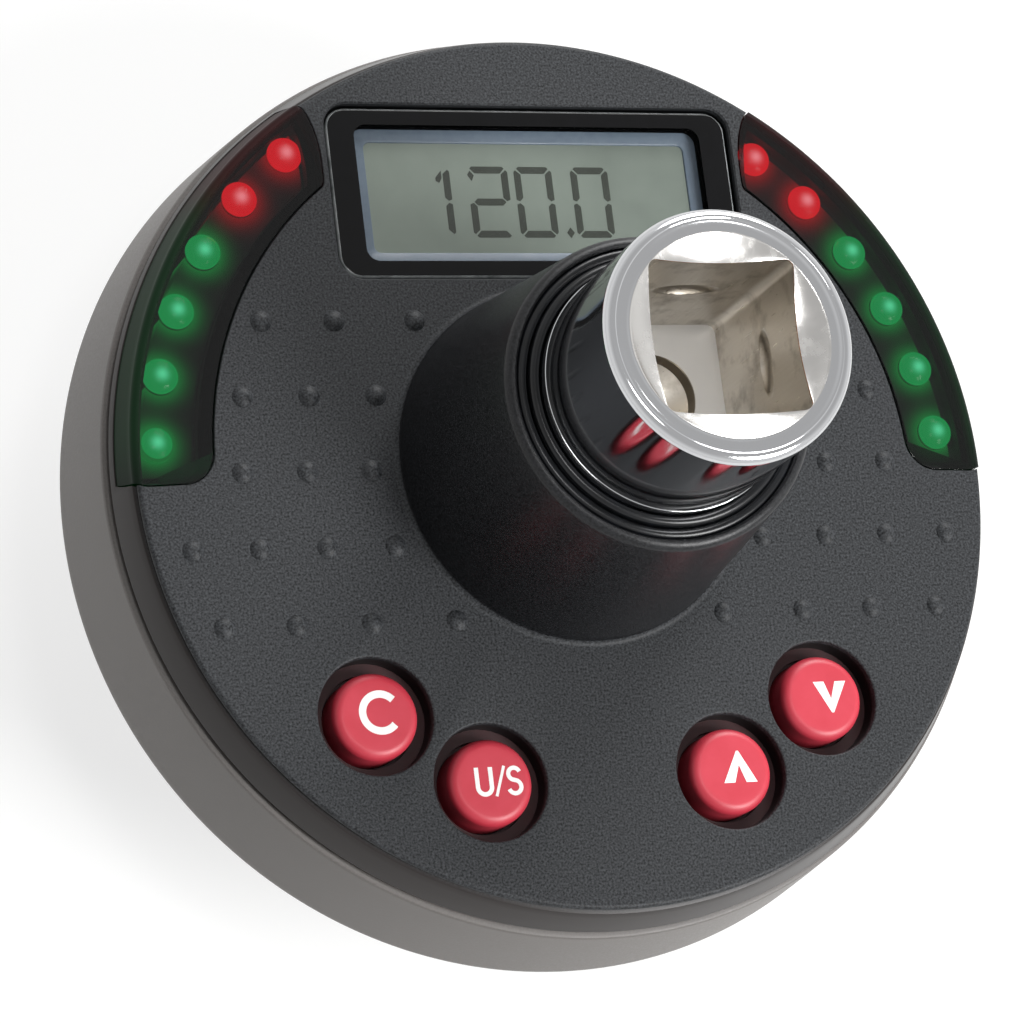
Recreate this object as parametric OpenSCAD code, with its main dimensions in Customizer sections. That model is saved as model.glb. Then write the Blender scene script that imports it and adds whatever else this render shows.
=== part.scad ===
// Electronic torque angle gauge with a square drive right through it.
// The origin is the centre of the male square's end face. +Z runs up the drive axis,
// +X points to the right of the display and +Y from the keys towards the display.

/* [Drive shaft] */
// Width across the flats of the male square
drive_square = 12.66; // [10:0.02:13.6]
// Length of the male square
drive_len = 16; // [13:0.5:20]
// Diameter that rounds off the corners of the male square
drive_corner_d = 16.8; // [14.5:0.1:17.4]
// Bevel round the end of the male square
drive_bevel = 0.9; // [0.4:0.1:1.6]
// Width across the flats of the female square
socket_square = 12.9; // [10:0.02:13.6]
// Depth of the female square below the top of the shaft
socket_depth = 17; // [13:0.5:20]
// Corner radius of the female square
socket_corner_r = 0.8; // [0.3:0.1:1.5]
// Diameter of the dished mouth of the female square
mouth_d = 17.6; // [15:0.1:19]
// Depth of the dished mouth
mouth_depth = 1.1; // [0.5:0.1:2]
// Diameter of the turned groove that catches a detent ball
groove_d = 14.2; // [13.2:0.1:15]
// Width of that groove
groove_w = 2.8; // [2:0.1:4]
// Depth of that groove's middle below the top of the shaft
groove_depth = 7.8; // [6:0.1:9]
// Diameter of the pilot hole in the floor of the female square
pilot_d = 7.5; // [5:0.1:9]
// Depth of the pilot hole
pilot_depth = 4; // [2:0.5:8]
// Diameter of the chromed cylinder above the collar
shaft_d = 21.8; // [20.5:0.1:22.6]
// Height of the top of the shaft above the face
shaft_rise = 36.3; // [30:0.1:44]
// Radius of the rounded lip at the top of the shaft
lip_r = 0.8; // [0.3:0.1:1.2]
// Step from the chromed cylinder out to the shaft in the collar
body_step = 1; // [0.7:0.05:1.2]
// Height of the small root step of the chromed cylinder
root_h = 1.4; // [0.6:0.1:2.5]
// Size of the root step
root_step = 0.12; // [0.05:0.01:0.2]
// Depth of the polished bead's middle below the collar's rim
bead_sink = 0.1; // [0:0.05:0.3]
// Width of the flange that the two covers clamp
flange_w = 2.1; // [1.6:0.1:2.4]
// Land left beside the shaft by the flange's two flats
flange_land = 0.4; // [0.2:0.05:0.6]
// Thickness of the flange
flange_h = 2.5; // [1.5:0.1:4]
// Thickness of the ribs that hold the flange's flats
rib_t = 1.4; // [1:0.1:1.6]
// Length of the neck below the underside
neck_len = 2; // [1.4:0.1:5]
// Bevel of the shoulder above the male square
shoulder_bevel = 1; // [0.5:0.1:1.2]

/* [Detent] */
// Diameter of the detent ball
ball_d = 4.76; // [4:0.02:5]
// Height of the ball above the end of the male square
ball_up = 7.5; // [6:0.1:9]
// How far the ball stands out of its flat
ball_out = 0.9; // [0.6:0.05:1.2]
// Depth of the ball's hole below its flat
ball_hole = 7.8; // [7:0.1:9]
// Running clearance round the ball
ball_gap = 0.06; // [0.02:0.01:0.1]
// Wire of the detent spring
spring_wire = 0.5; // [0.3:0.05:0.6]
// Clearance of the spring in the ball's hole
spring_gap = 0.25; // [0.2:0.05:0.4]
// Turns of the detent spring
spring_turns = 5; // [4:1:6]

/* [Housing] */
// Land between the display's corners and the edge of the face
rim_land = 1.27; // [1:0.01:2]
// Height of the smooth band of the front cover
band_h = 4.4; // [4:0.1:5]
// How far the band flares out from the edge of the face to the seam
band_flare = 1.25; // [1:0.05:1.6]
// Step from the band out to the rear cover
rear_step = 0.45; // [0.2:0.05:0.8]
// How far the rear cover flares out from the seam to its foot
rear_flare = 0.95; // [0.6:0.05:2]
// Rounding of the rear cover's foot
rear_edge_r = 1.8; // [0.8:0.1:2.4]
// Thickness of the face plate
plate_t = 2.4; // [2.2:0.1:2.8]
// Thickness of the rear cover's wall
rear_wall = 2; // [1.6:0.1:2.2]
// Thickness of the rear cover's floor
floor_t = 2.2; // [2:0.1:2.6]
// Gap of the seam, filled by its gasket
seam_gap = 0.4; // [0.2:0.05:0.6]
// Bevel of the covers' sharp edges
seam_bevel = 0.25; // [0.1:0.05:0.35]
// Rounding of the edge of the face
edge_r = 0.4; // [0.2:0.05:0.6]
// Depth of the fine groove below that edge
edge_groove = 0.3; // [0.1:0.05:0.5]
// Step from the edge of the face out to the band
band_step = 0.3; // [0.1:0.05:0.5]
// How far the gasket lies inside the band
gasket_sink = 0.4; // [0.2:0.05:0.6]
// Gap between the tongue that enters the rear cover and the board
tongue_land = 0.4; // [0.2:0.05:0.8]
// Thickness of the tongue
tongue_t = 1.3; // [0.9:0.1:1.6]
// Clearance round the tongue
tongue_gap = 0.15; // [0.05:0.05:0.3]

/* [Collar] */
// How far the collar flares out from its rim to the face
collar_flare = 2.3; // [1.6:0.1:2.8]
// Wall of the collar round its ring seal
collar_wall = 1; // [0.7:0.05:1.6]
// Height of the collar above the face
collar_h = 21.2; // [18:0.1:24]
// Rounding of the collar's rim
collar_rim_r = 0.8; // [0.3:0.05:0.9]
// Bevel inside the collar's rim
collar_bevel = 0.15; // [0.1:0.01:0.25]
// Clearance of the collar's tube in the face
collar_gap = 0.05; // [0.02:0.01:0.1]
// Fillet at the foot of the collar
collar_fillet = 0.6; // [0.2:0.1:1]
// Width of the ring seal between shaft and collar
seal_w = 1; // [0.8:0.05:1.1]
// How far the seal's middle lies below the collar's rim
seal_sink = 0.6; // [0.55:0.05:0.8]
// Squeeze of the ring seals
seal_squeeze = 0.02; // [0.01:0.01:0.04]
// Clearance of the shaft in the covers
shaft_gap = 0.1; // [0.05:0.01:0.2]
// Length over which the collar guides the shaft
guide_len = 7; // [4:0.5:12]
// Relief of the collar's bore below that guide
tube_relief = 0.4; // [0.2:0.05:0.6]
// How far the collar's tube reaches beyond the flange
tube_land = 0.2; // [0.1:0.05:0.4]

/* [Display] */
// Width of the display lens
lens_w = 38.7; // [36.4:0.1:39.4]
// Height of the display lens
lens_l = 16; // [15:0.1:16.4]
// Land between the collar's foot and the lens
lens_land = 0.75; // [0.5:0.05:1.2]
// Corner radius of the lens
lens_corner_r = 2; // [1:0.1:2.6]
// Thickness of the lens
lens_t = 1.2; // [0.8:0.1:1.4]
// How far the lens lies below the face
lens_sink = 0.5; // [0.2:0.05:0.6]
// Gap round the lens
lens_gap = 0.25; // [0.1:0.05:0.4]
// Width of the opening behind the lens
sight_w = 34.4; // [33:0.1:35.4]
// Height of the opening behind the lens
sight_l = 13.4; // [12.6:0.1:14]
// Corner radius of the opening behind the lens
sight_corner_r = 1; // [0.4:0.1:2]
// Width of the visible field of the liquid crystal
field_w = 31.4; // [29:0.1:32]
// Height of the visible field
field_l = 10.6; // [9.4:0.1:11.2]
// Rim of the liquid crystal glass beyond the visible field
glass_rim = 1.1; // [0.8:0.1:1.4]
// Thickness of the liquid crystal glass
glass_t = 2.2; // [1.6:0.1:2.6]
// Width of the rubber connectors under the glass
connector_w = 1.6; // [1:0.1:2]
// Clearance of the glass in its frame
glass_gap = 0.1; // [0.05:0.01:0.15]
// Corner radius of the frame's opening
field_corner_r = 0.6; // [0.3:0.1:1]
// Wall of the frame round the glass
frame_wall = 1.1; // [0.8:0.1:1.2]
// Thickness of the frame's front lip
frame_lip = 0.5; // [0.3:0.1:0.8]

/* [Lamp windows] */
// Width of the smoked arcs on the face
window_w = 7.1; // [6.6:0.1:7.4]
// Angle from the lower end of an arc to its first lamp
window_start_angle = 6.75; // [6:0.05:8]
// Angle from the last lamp to the upper end of an arc
window_end_angle = 5; // [4.5:0.1:6]
// Corner radius of the arcs
window_corner_r = 2.8; // [2:0.1:3]
// Thickness of the arcs on the face
window_t = 1.4; // [1:0.1:1.5]
// How far the arcs wrap down over the rim
window_skirt = 3.2; // [2.6:0.1:3.4]
// Thickness of that wrap
window_skirt_t = 1.1; // [0.9:0.05:1.2]
// Gap round the arcs
window_gap = 0.1; // [0.05:0.01:0.2]
// Ledge that carries the arcs
window_ledge = 1.1; // [0.8:0.1:1.3]
// Land between an arc's upper end and the display
window_land = 0.5; // [0.4:0.05:0.8]
// Ledge beside that land
window_end_ledge = 0.6; // [0.4:0.05:0.7]
// How far an arc's outline reaches beyond the band
window_spare = 0.4; // [0.2:0.05:0.6]
// Diameter of a lamp
lamp_d = 3; // [2.4:0.1:3.1]
// Distance of the lamps' middles from the edge of the face
lamp_inset = 2.7; // [2.5:0.05:3]
// Direction of the lowest right lamp
lamp_a0 = 4.75; // [4:0.05:6]
// Gap between the last lamp and the end of its pocket
lamp_end_gap = 0.5; // [0.2:0.05:1]
// Depth of the lamps' tops below the face
lamp_sink = 2.3; // [1.9:0.1:2.8]
// Clearance beyond the lamps in their pocket
lamp_gap = 0.3; // [0.1:0.05:0.4]
// Width of the ring at a lamp's foot
lamp_foot = 0.2; // [0.1:0.05:0.25]
// Height of that ring
lamp_foot_h = 1; // [0.6:0.1:1.2]

/* [Keys] */
// Diameter of a key
key_d = 7.7; // [6.8:0.1:8.2]
// Diameter of a key's well
well_d = 10.35; // [9.4:0.05:10.8]
// Distance of the keys' middles from the edge of the face
key_inset = 9.5; // [9:0.1:10]
// Direction of the outer keys from -Y
key_outer_a = 43.5; // [42.5:0.1:45]
// Direction of the inner keys from -Y
key_inner_a = 21.7; // [21:0.1:22.5]
// How far the keys stand above the face
key_rise = 0.2; // [0:0.05:0.6]
// Rounding of a key's top edge
key_edge_r = 0.9; // [0.2:0.05:1.2]
// Travel of a key
key_travel = 1; // [0.5:0.05:1.1]
// Gap between a key and the rubber round it
key_gap = 0.3; // [0.2:0.05:0.4]
// Width of the ledge that holds a key in
key_ledge = 1; // [0.8:0.1:1.2]
// Thickness of that ledge
key_ledge_t = 0.8; // [0.5:0.1:1]
// Free play above the ledge and below a pressed key
key_play = 0.1; // [0.05:0.01:0.15]
// Thickness of the keypad mat
mat_t = 1; // [0.8:0.1:1.2]
// Width of the mat beyond the keys' wells
mat_margin = 1.4; // [1:0.1:1.6]
// Diameter of a contact pill
pill_d = 4; // [3:0.1:5]
// Thickness of a contact pill
pill_t = 1.5; // [0.8:0.1:2]
// Diameter of a contact pad on the board
pad_d = 4.8; // [4:0.1:6]
// Thickness of a contact pad
pad_t = 0.1; // [0.05:0.01:0.15]

/* [Raised dots] */
// Diameter of a dot
dot_d = 2; // [1.6:0.1:2.4]
// Height of a dot
dot_h = 0.4; // [0.2:0.05:0.6]
// Distance of the innermost ring of dots from the collar
dot_land = 2.65; // [2.2:0.05:3]
// Distance from ring to ring
dot_ring_step = 5.85; // [5.6:0.05:5.95]
// Offset of the middle row from the drive axis
dot_row_y = -0.3; // [-0.6:0.05:0]
// Distance from row to row
dot_row_step = 6.85; // [6.5:0.05:6.95]

/* [Board] */
// Thickness of the board
board_t = 1.6; // [1:0.1:1.6]
// Edge of the board beyond the lamps
board_edge = 0.1; // [0:0.05:0.3]
// Gap between the board and the collar's tube
board_hole_gap = 1.4; // [1:0.1:1.8]
// Distance of the board screws from the board's opening
pillar_land = 4.4; // [4:0.1:5]
// Diameter of the pillars that carry the board
pillar_d = 3.6; // [3.2:0.1:3.8]
// Diameter of the board screws
board_screw_d = 1.6; // [1.2:0.1:1.8]
// Diameter of the board screws' heads
board_screw_head_d = 3.2; // [2.6:0.1:3.6]
// Thickness of the board screws' heads
board_screw_head_t = 1; // [0.8:0.1:1.2]
// Grip of the board screws in the pillars
board_screw_grip = 2.4; // [1.6:0.1:3]
// Diameter of the sounder
buzzer_d = 12; // [10:0.1:12.4]
// Height of the sounder
buzzer_h = 4.4; // [3:0.1:5]
// Side of the controller chip
chip_w = 10; // [7:0.1:10.4]
// Thickness of the controller chip
chip_t = 1.4; // [1:0.1:1.8]
// Side of the angle sensor
sensor_w = 5; // [3:0.1:6]
// Thickness of the angle sensor
sensor_t = 1.1; // [0.8:0.1:1.5]
// Distance of the angle sensor from the drive axis
sensor_x = 22; // [21:0.5:28]
// Sideways place of controller and sounder
chip_x = 13; // [12.6:0.1:14]
// Distance of controller and sounder behind the drive axis
chip_y = 24; // [23:0.1:25]
// Diameter of the sounder's hole
buzzer_hole_d = 2; // [1:0.1:3]
// Depth of the sounder's hole
buzzer_hole_depth = 1; // [0.5:0.1:2]

/* [Housing screws] */
// Distance of the housing screws from the edge of the face
screw_inset = 10.5; // [10:0.1:11]
// Diameter of the screws' shanks
screw_d = 2.3; // [2:0.1:2.5]
// Diameter of the screws' heads
screw_head_d = 4.4; // [4:0.1:4.6]
// Thickness of the screws' heads
screw_head_t = 1.3; // [1:0.1:1.5]
// How far the heads lie below the underside
screw_sink = 0.5; // [0.2:0.05:0.8]
// Length of the screws' shanks
screw_len = 11; // [9:0.1:11.4]
// Diameter of the bosses
boss_d = 5; // [4.6:0.1:5.4]
// Height above the underside where front and rear bosses meet
boss_split = 6; // [5:0.1:7.4]
// Clearance round the screws' threads
screw_gap = 0.05; // [0.03:0.01:0.1]
// Clearance round the screws where they pass freely
hole_gap = 0.2; // [0.1:0.05:0.3]
// Hole left beyond the tip of a screw
hole_spare = 0.5; // [0.2:0.1:0.6]
// Extra width of the rear bosses
rear_boss_extra = 0.6; // [0.2:0.1:0.8]
// Clearance of board and keypad mat round the front bosses
boss_gap = 0.3; // [0.2:0.05:0.5]

/* [Battery] */
// Diameter of the coin cell
cell_d = 20; // [19:0.1:20.2]
// Thickness of the coin cell
cell_t = 3.2; // [2.5:0.1:3.4]
// How far the battery bay enters the rear cover's wall
bay_bite = 0.1; // [0.05:0.01:0.3]
// Height of the cell above the underside
cell_up = 4.2; // [4:0.05:4.4]
// Clearance round the coin cell
cell_gap = 0.4; // [0.3:0.05:0.5]
// Wall of the battery bay
bay_wall = 1.1; // [1.05:0.05:1.3]
// Gap between the battery bay and the board
bay_gap = 0.5; // [0.4:0.05:0.8]
// Room between the coin cell and the board
cell_room = 1; // [0.8:0.05:1.6]
// Width of the cap's three lugs beyond the opening
lug_w = 1; // [0.8:0.05:1.1]
// Thickness of the lugs
lug_t = 1.2; // [0.8:0.1:1.3]
// Room above the lugs
lug_play = 0.4; // [0.2:0.05:0.5]
// Angle that a lug spans
lug_angle = 36; // [24:1:38]
// Extra angle of the gaps that let the lugs in
lug_extra_angle = 6; // [3:1:8]
// Turn from locked to open
cap_turn = 45; // [42:1:60]
// Width of the cap's flange beyond the opening
cap_rim = 1.6; // [1.4:0.05:1.7]
// Thickness of the cap's flange
cap_t = 0.8; // [0.6:0.05:0.9]
// Clearance round the cap
cap_gap = 0.3; // [0.2:0.05:0.35]
// Thickness of the cap's seal
cap_seal_t = 0.35; // [0.2:0.05:0.4]
// Free play between moving faces of the cap
cap_play = 0.05; // [0.02:0.01:0.1]
// Step from the cap's neck to the boss that holds the cell
press_step = 1.5; // [0.8:0.1:2]
// Width of the coin slot
slot_w = 2.2; // [1.6:0.1:2.6]
// Length of the coin slot
slot_l = 15; // [10:0.5:18]
// Depth of the coin slot
slot_depth = 1.3; // [0.8:0.1:1.6]
// Thickness of the cell contacts
contact_t = 0.3; // [0.2:0.05:0.4]
// Width of the cell contacts
contact_w = 3; // [2:0.1:3.6]
// Gap between the side contact and the cell
contact_gap = 0.05; // [0.02:0.01:0.08]

/* [Hidden] */
$fn = 96;

screw_angles = [27, 153, 205, 335, 270];
pillar_angles = [45, 135, 225, 315];
green_count = 4;
red_count = 2;

// Levels along the drive axis, stacked from the underside to the face
under_z = drive_len + neck_len;
floor_z = under_z + floor_t;
flange_top_z = floor_z + flange_h;
boss_z = under_z + boss_split;
lip_low_z = under_z + cap_t + cap_seal_t + cap_play;
lug_low_z = floor_z + cap_play;
lug_top_z = lug_low_z + lug_t;
cell_low_z = under_z + cell_up;
cell_top_z = cell_low_z + cell_t;
board_low_z = cell_top_z + cell_room;
board_top_z = board_low_z + board_t;
tongue_low_z = board_top_z + tongue_land;
pill_low_z = board_top_z + pad_t + key_travel + key_play;
ledge_low_z = pill_low_z + pill_t;
ledge_top_z = ledge_low_z + key_ledge_t;
mat_low_z = ledge_top_z + key_play;
plate_z = mat_low_z + mat_t;
face_z = plate_z + plate_t;
seam_top_z = face_z - band_h + seam_gap / 2;
seam_low_z = face_z - band_h - seam_gap / 2;
lens_low_z = face_z - lens_sink - lens_t;
glass_top_z = plate_z - frame_lip;
glass_low_z = glass_top_z - glass_t;
foot_z = face_z + collar_fillet;
collar_z = face_z + collar_h;
top_z = face_z + shaft_rise;
screw_tip_z = under_z + screw_sink + screw_head_t + screw_len;

// Radii of shaft and collar, from the inside out
shaft_r = shaft_d / 2;
body_r = shaft_r + body_step;
guide_r = body_r + shaft_gap;
seal_seat_r = body_r + seal_w;
seal_seat = seal_sink + seal_w;
flange_r = body_r + flange_w;
flat_y = body_r + flange_land;
tube_in_r = guide_r + tube_relief;
tube_out_r = flange_r + tube_land;
collar_top_r = seal_seat_r + collar_wall;
collar_base_r = collar_top_r + collar_flare;
rim_r = min(collar_rim_r, collar_wall - collar_bevel);
ball_x = drive_square / 2 + ball_out - ball_d / 2;

// Battery bay, against the collar's tube
opening_r = cell_d / 2 + cell_gap;
lug_r = opening_r + lug_w;
lug_room_r = lug_r + cap_gap;
bay_out_r = lug_room_r + bay_wall;
bay_y = tube_out_r + bay_out_r;
cap_r = opening_r + cap_rim;
cap_seat_r = cap_r + cap_gap;
neck_r = opening_r - cap_gap;

// The face is as wide as the display and the battery bay need
lens_y = collar_base_r + collar_fillet + lens_land + lens_l / 2;
display_reach = norm([lens_w / 2, lens_y + lens_l / 2]) + rim_land;
bay_reach = bay_y + bay_out_r - bay_bite + rear_wall - rear_step - band_flare;
face_r = max(display_reach, bay_reach);
band_top_r = face_r + band_step;
band_top_d = edge_r + edge_groove + band_step / 2;
band_r = face_r + band_flare;
rear_top_r = band_r + rear_step;
rear_low_r = rear_top_r + rear_flare;
rear_in_r = rear_top_r - rear_wall;
tongue_r = rear_in_r - tongue_gap;
gasket_r = band_r - gasket_sink;
far = 1.5 * rear_low_r;

// Places on the face and on the board
glass_w = field_w + 2 * glass_rim;
glass_l = field_l + 2 * glass_rim;
key_pitch_r = face_r - key_inset;
screw_pitch_r = face_r - screw_inset;
lamp_pitch_r = face_r - lamp_inset;
window_in_r = face_r - window_w;
window_out_r = band_r + window_spare;
window_end_x = lens_w / 2 + lens_gap + window_land;
lamp_end_x = window_end_x + window_end_ledge + lamp_d / 2 + lamp_end_gap;
lamp_a1 = acos(lamp_end_x / lamp_pitch_r);
lamp_step = (lamp_a1 - lamp_a0) / (green_count + red_count - 1);
window_a0 = lamp_a0 - window_start_angle;
window_a1 = lamp_a1 + window_end_angle;
pocket_r = lamp_pitch_r + lamp_d / 2 + lamp_gap;
skirt_in_r = band_r_at(window_skirt) - window_skirt_t;
dot_ring_r = collar_base_r + dot_land;
board_r = lamp_pitch_r + lamp_d / 2 + board_edge;
board_hole_r = tube_out_r + board_hole_gap;
pillar_pitch_r = board_hole_r + pillar_land;
eps = 0.01;
over = 1;
key_red = [0.75, 0.16, 0.2];
pill_black = [0.1, 0.1, 0.1];

// Radius of the smooth band at a depth below the face
function band_r_at(depth) =
    band_top_r + (band_r - band_top_r) * (depth - band_top_d) / (band_h - band_top_d);

// Points of an arc from angle a0 to angle a1
function arc(centre, r, a0, a1, steps = 6) =
    [for (i = [0 : steps]) let (a = a0 + (a1 - a0) * i / steps) centre + r * [cos(a), sin(a)]];

// Places one child on a circle round the drive axis
module on_circle(r, a) {
    translate([r * cos(a), r * sin(a), 0])
        children();
}

// Rectangle with round corners
module round_rect(w, l, r) {
    square([w - 2 * r, l], center = true);
    square([w, l - 2 * r], center = true);
    for (sx = [-1, 1], sy = [-1, 1])
        translate([sx * (w / 2 - r), sy * (l / 2 - r)])
            circle(r);
}

// Sector between two directions
module wedge(a0, a1) {
    mid = (a0 + a1) / 2;
    polygon([[0, 0], far * [cos(a0), sin(a0)], 1.2 * far * [cos(mid), sin(mid)], far * [cos(a1), sin(a1)]]);
}

// Flat ring
module ring(r_in, r_out) {
    difference() {
        circle(r_out);
        circle(r_in);
    }
}

// Curved band between two directions, with round corners
module arc_band(r_in, r_out, a0, a1, corner) {
    r_mid = (r_in + r_out) / 2;
    rc_in = r_in + corner;
    rc_out = r_out - corner;
    turn_in = asin(corner / rc_in);
    turn_out = asin(corner / rc_out);
    intersection() {
        ring(r_in, r_mid);
        wedge(a0 + turn_in, a1 - turn_in);
    }
    intersection() {
        ring(r_mid, r_out);
        wedge(a0 + turn_out, a1 - turn_out);
    }
    intersection() {
        ring(rc_in, rc_out);
        wedge(a0, a1);
    }
    for (a = [a0 + turn_in, a1 - turn_in])
        on_circle(rc_in, a)
            circle(corner);
    for (a = [a0 + turn_out, a1 - turn_out])
        on_circle(rc_out, a)
            circle(corner);
}

// Plan of the right lamp window, drawn in by an inset and cut off beside the display
module window_plan(inset, r_out, end_inset) {
    turn = asin(inset / window_in_r);
    difference() {
        arc_band(
            window_in_r + inset, r_out,
            window_a0 + turn, window_a1 - turn, window_corner_r - inset
        );
        translate([0, far / 2])
            square([2 * (window_end_x + end_inset), far], center = true);
    }
}

// Square prism with a bevelled lower end
module bevelled_square(w, h, bevel) {
    outline = [
        [bevel - w / 2, 0], [w / 2 - bevel, 0], [w / 2, bevel],
        [w / 2, h], [-w / 2, h], [-w / 2, bevel]
    ];
    intersection() {
        rotate([90, 0, 0])
            linear_extrude(2 * w, center = true)
                polygon(outline);
        rotate([90, 0, 90])
            linear_extrude(2 * w, center = true)
                polygon(outline);
        cylinder(d = drive_corner_d, h = h);
    }
}

// Turned outline of the shaft above the male square
module shaft_turning() {
    bead_r = (body_r - shaft_r - root_step) / 2;
    bead_z = collar_z - bead_sink;
    root_z = bead_z + root_h;
    rotate_extrude()
        polygon(concat(
            [[0, drive_len], [body_r - shoulder_bevel, drive_len], [body_r, drive_len + shoulder_bevel]],
            arc([body_r - bead_r, bead_z], bead_r, 0, 180, 8),
            [[shaft_r + root_step, root_z], [shaft_r, root_z + root_step]],
            arc([shaft_r - lip_r, top_z - lip_r], lip_r, 0, 90),
            [[0, top_z]]
        ));
}

// Female square with its dished mouth, turned groove and pilot hole
module socket_cut() {
    groove_r = groove_w / 2;
    floor_cut_z = top_z - socket_depth;
    translate([0, 0, floor_cut_z])
        linear_extrude(socket_depth + over)
            round_rect(socket_square, socket_square, socket_corner_r);
    translate([0, 0, top_z - mouth_depth])
        cylinder(h = mouth_depth, r1 = socket_square / 2, r2 = mouth_d / 2);
    translate([0, 0, top_z - eps])
        cylinder(h = over, r = mouth_d / 2);
    translate([0, 0, top_z - groove_depth])
        rotate_extrude()
            translate([groove_d / 2 - groove_r, 0])
                circle(groove_r, $fn = 48);
    translate([0, 0, floor_cut_z - pilot_depth])
        cylinder(h = pilot_depth + over, d = pilot_d);
    translate([0, 0, floor_cut_z - pilot_depth - pilot_d / 4])
        cylinder(h = pilot_d / 4 + eps, r1 = eps, r2 = pilot_d / 2);
}

module drive_shaft() {
    color([0.82, 0.83, 0.84])
        difference() {
            union() {
                shaft_turning();
                bevelled_square(drive_square, drive_len + over, drive_bevel);
                translate([0, 0, floor_z])
                    intersection() {
                        cylinder(h = flange_h, r = flange_r);
                        translate([0, 0, flange_h / 2])
                            cube([far, 2 * flat_y, far], center = true);
                    }
            }
            socket_cut();
            translate([drive_square / 2 - ball_hole, 0, ball_up])
                rotate([0, 90, 0])
                    cylinder(h = ball_hole + over, r = ball_d / 2 + ball_gap);
        }
}

module detent_ball() {
    color([0.78, 0.79, 0.8])
        translate([ball_x, 0, ball_up])
            sphere(d = ball_d);
}

// Coil wound from the floor of the ball's hole to the ball
module detent_spring() {
    sides = 8;
    per_turn = 20;
    coil_r = ball_d / 2 - spring_wire - spring_gap;
    wire_r = spring_wire / 2;
    x0 = drive_square / 2 - ball_hole + wire_r;
    reach = sqrt(pow(ball_d / 2 + wire_r, 2) - pow(coil_r, 2));
    x1 = ball_x - reach - ball_gap;
    steps = spring_turns * per_turn;
    points = [
        for (i = [0 : steps], k = [0 : sides - 1])
            let (a = 360 * i / per_turn, b = 360 * k / sides, r = coil_r + wire_r * cos(b))
                [x0 + (x1 - x0) * i / steps + wire_r * sin(b), r * cos(a), ball_up + r * sin(a)]
    ];
    walls = [
        for (i = [0 : steps - 1], k = [0 : sides - 1])
            let (n = (k + 1) % sides, low = i * sides, high = low + sides)
                [low + k, high + k, high + n, low + n]
    ];
    ends = [[for (k = [0 : sides - 1]) k], [for (k = [sides - 1 : -1 : 0]) steps * sides + k]];
    color([0.6, 0.6, 0.62])
        polyhedron(points, concat(walls, ends));
}

// Places a child at each of the five housing screws
module at_screws() {
    for (a = screw_angles)
        on_circle(screw_pitch_r, a)
            children();
}

// Places a child at each of the four board pillars
module at_pillars() {
    for (a = pillar_angles)
        on_circle(pillar_pitch_r, a)
            children();
}

// Direction of a key: side -1 is left, 1 is right
function key_a(side, from_middle) = 270 + side * from_middle;

// Places a child at each key
module at_keys() {
    for (side = [-1, 1], a = [key_inner_a, key_outer_a])
        on_circle(key_pitch_r, key_a(side, a))
            children();
}

// Outline of the front cover: the collar's foot, face, edge, band and tongue
module front_turning() {
    hole_r = tube_out_r + collar_gap;
    rotate_extrude()
        polygon(concat(
            [[hole_r, plate_z], [hole_r, foot_z]],
            arc([collar_base_r + collar_fillet, foot_z], collar_fillet, 180, 270),
            arc([face_r - edge_r, face_z - edge_r], edge_r, 90, 0),
            [
                [face_r - edge_groove, face_z - edge_r - edge_groove / 2],
                [band_top_r, face_z - band_top_d],
                [band_r, seam_top_z + seam_bevel],
                [band_r - seam_bevel, seam_top_z],
                [tongue_r, seam_top_z],
                [tongue_r, tongue_low_z],
                [tongue_r - tongue_t, tongue_low_z],
                [tongue_r - tongue_t, plate_z]
            ]
        ));
}

// Tapered collar on its foot, with the tube that reaches down to the shaft's flange
module collar() {
    guide_low_z = collar_z - seal_seat - guide_len;
    color([0.2, 0.21, 0.22])
        rotate_extrude()
            polygon(concat(
                [[seal_seat_r, collar_z - collar_bevel], [seal_seat_r + collar_bevel, collar_z]],
                arc([collar_top_r - rim_r, collar_z - rim_r], rim_r, 90, 6),
                [
                    [collar_base_r, foot_z],
                    [tube_out_r, foot_z],
                    [tube_out_r, flange_top_z],
                    [tube_in_r, flange_top_z],
                    [tube_in_r, guide_low_z],
                    [guide_r, guide_low_z + tube_in_r - guide_r],
                    [guide_r, collar_z - seal_seat],
                    [seal_seat_r, collar_z - seal_seat]
                ]
            ));
}

// One raised dot on the face
module dot() {
    ball_r = (pow(dot_d / 2, 2) + pow(dot_h, 2)) / (2 * dot_h);
    intersection() {
        translate([0, 0, dot_h - ball_r])
            sphere(ball_r, $fn = 48);
        translate([0, 0, -dot_h])
            cylinder(h = 2 * dot_h, d = dot_d, $fn = 48);
    }
}

// Rows of dots where rings round the axis cross level lines
module dots() {
    for (side = [-1, 1], row = [-2 : 2], lane = [0 : 3]) {
        y = dot_row_y + row * dot_row_step;
        r = dot_ring_r + lane * dot_ring_step;
        if (lane < 3 || row < 0)
            translate([side * sqrt(r * r - y * y), y, face_z])
                dot();
    }
}

// Seat of the right lamp window with the pocket for its lamps
module window_seat() {
    intersection() {
        rotate_extrude()
            polygon([
                [window_in_r / 2, face_z - window_t], [skirt_in_r, face_z - window_t],
                [skirt_in_r, face_z - window_skirt], [far, face_z - window_skirt],
                [far, face_z + 1], [window_in_r / 2, face_z + 1]
            ]);
        translate([0, 0, face_z - band_h])
            linear_extrude(band_h + 2)
                window_plan(0, window_out_r, 0);
    }
    translate([0, 0, tongue_low_z - over])
        linear_extrude(face_z - tongue_low_z + over)
            window_plan(window_ledge, pocket_r, window_end_ledge);
}

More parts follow.
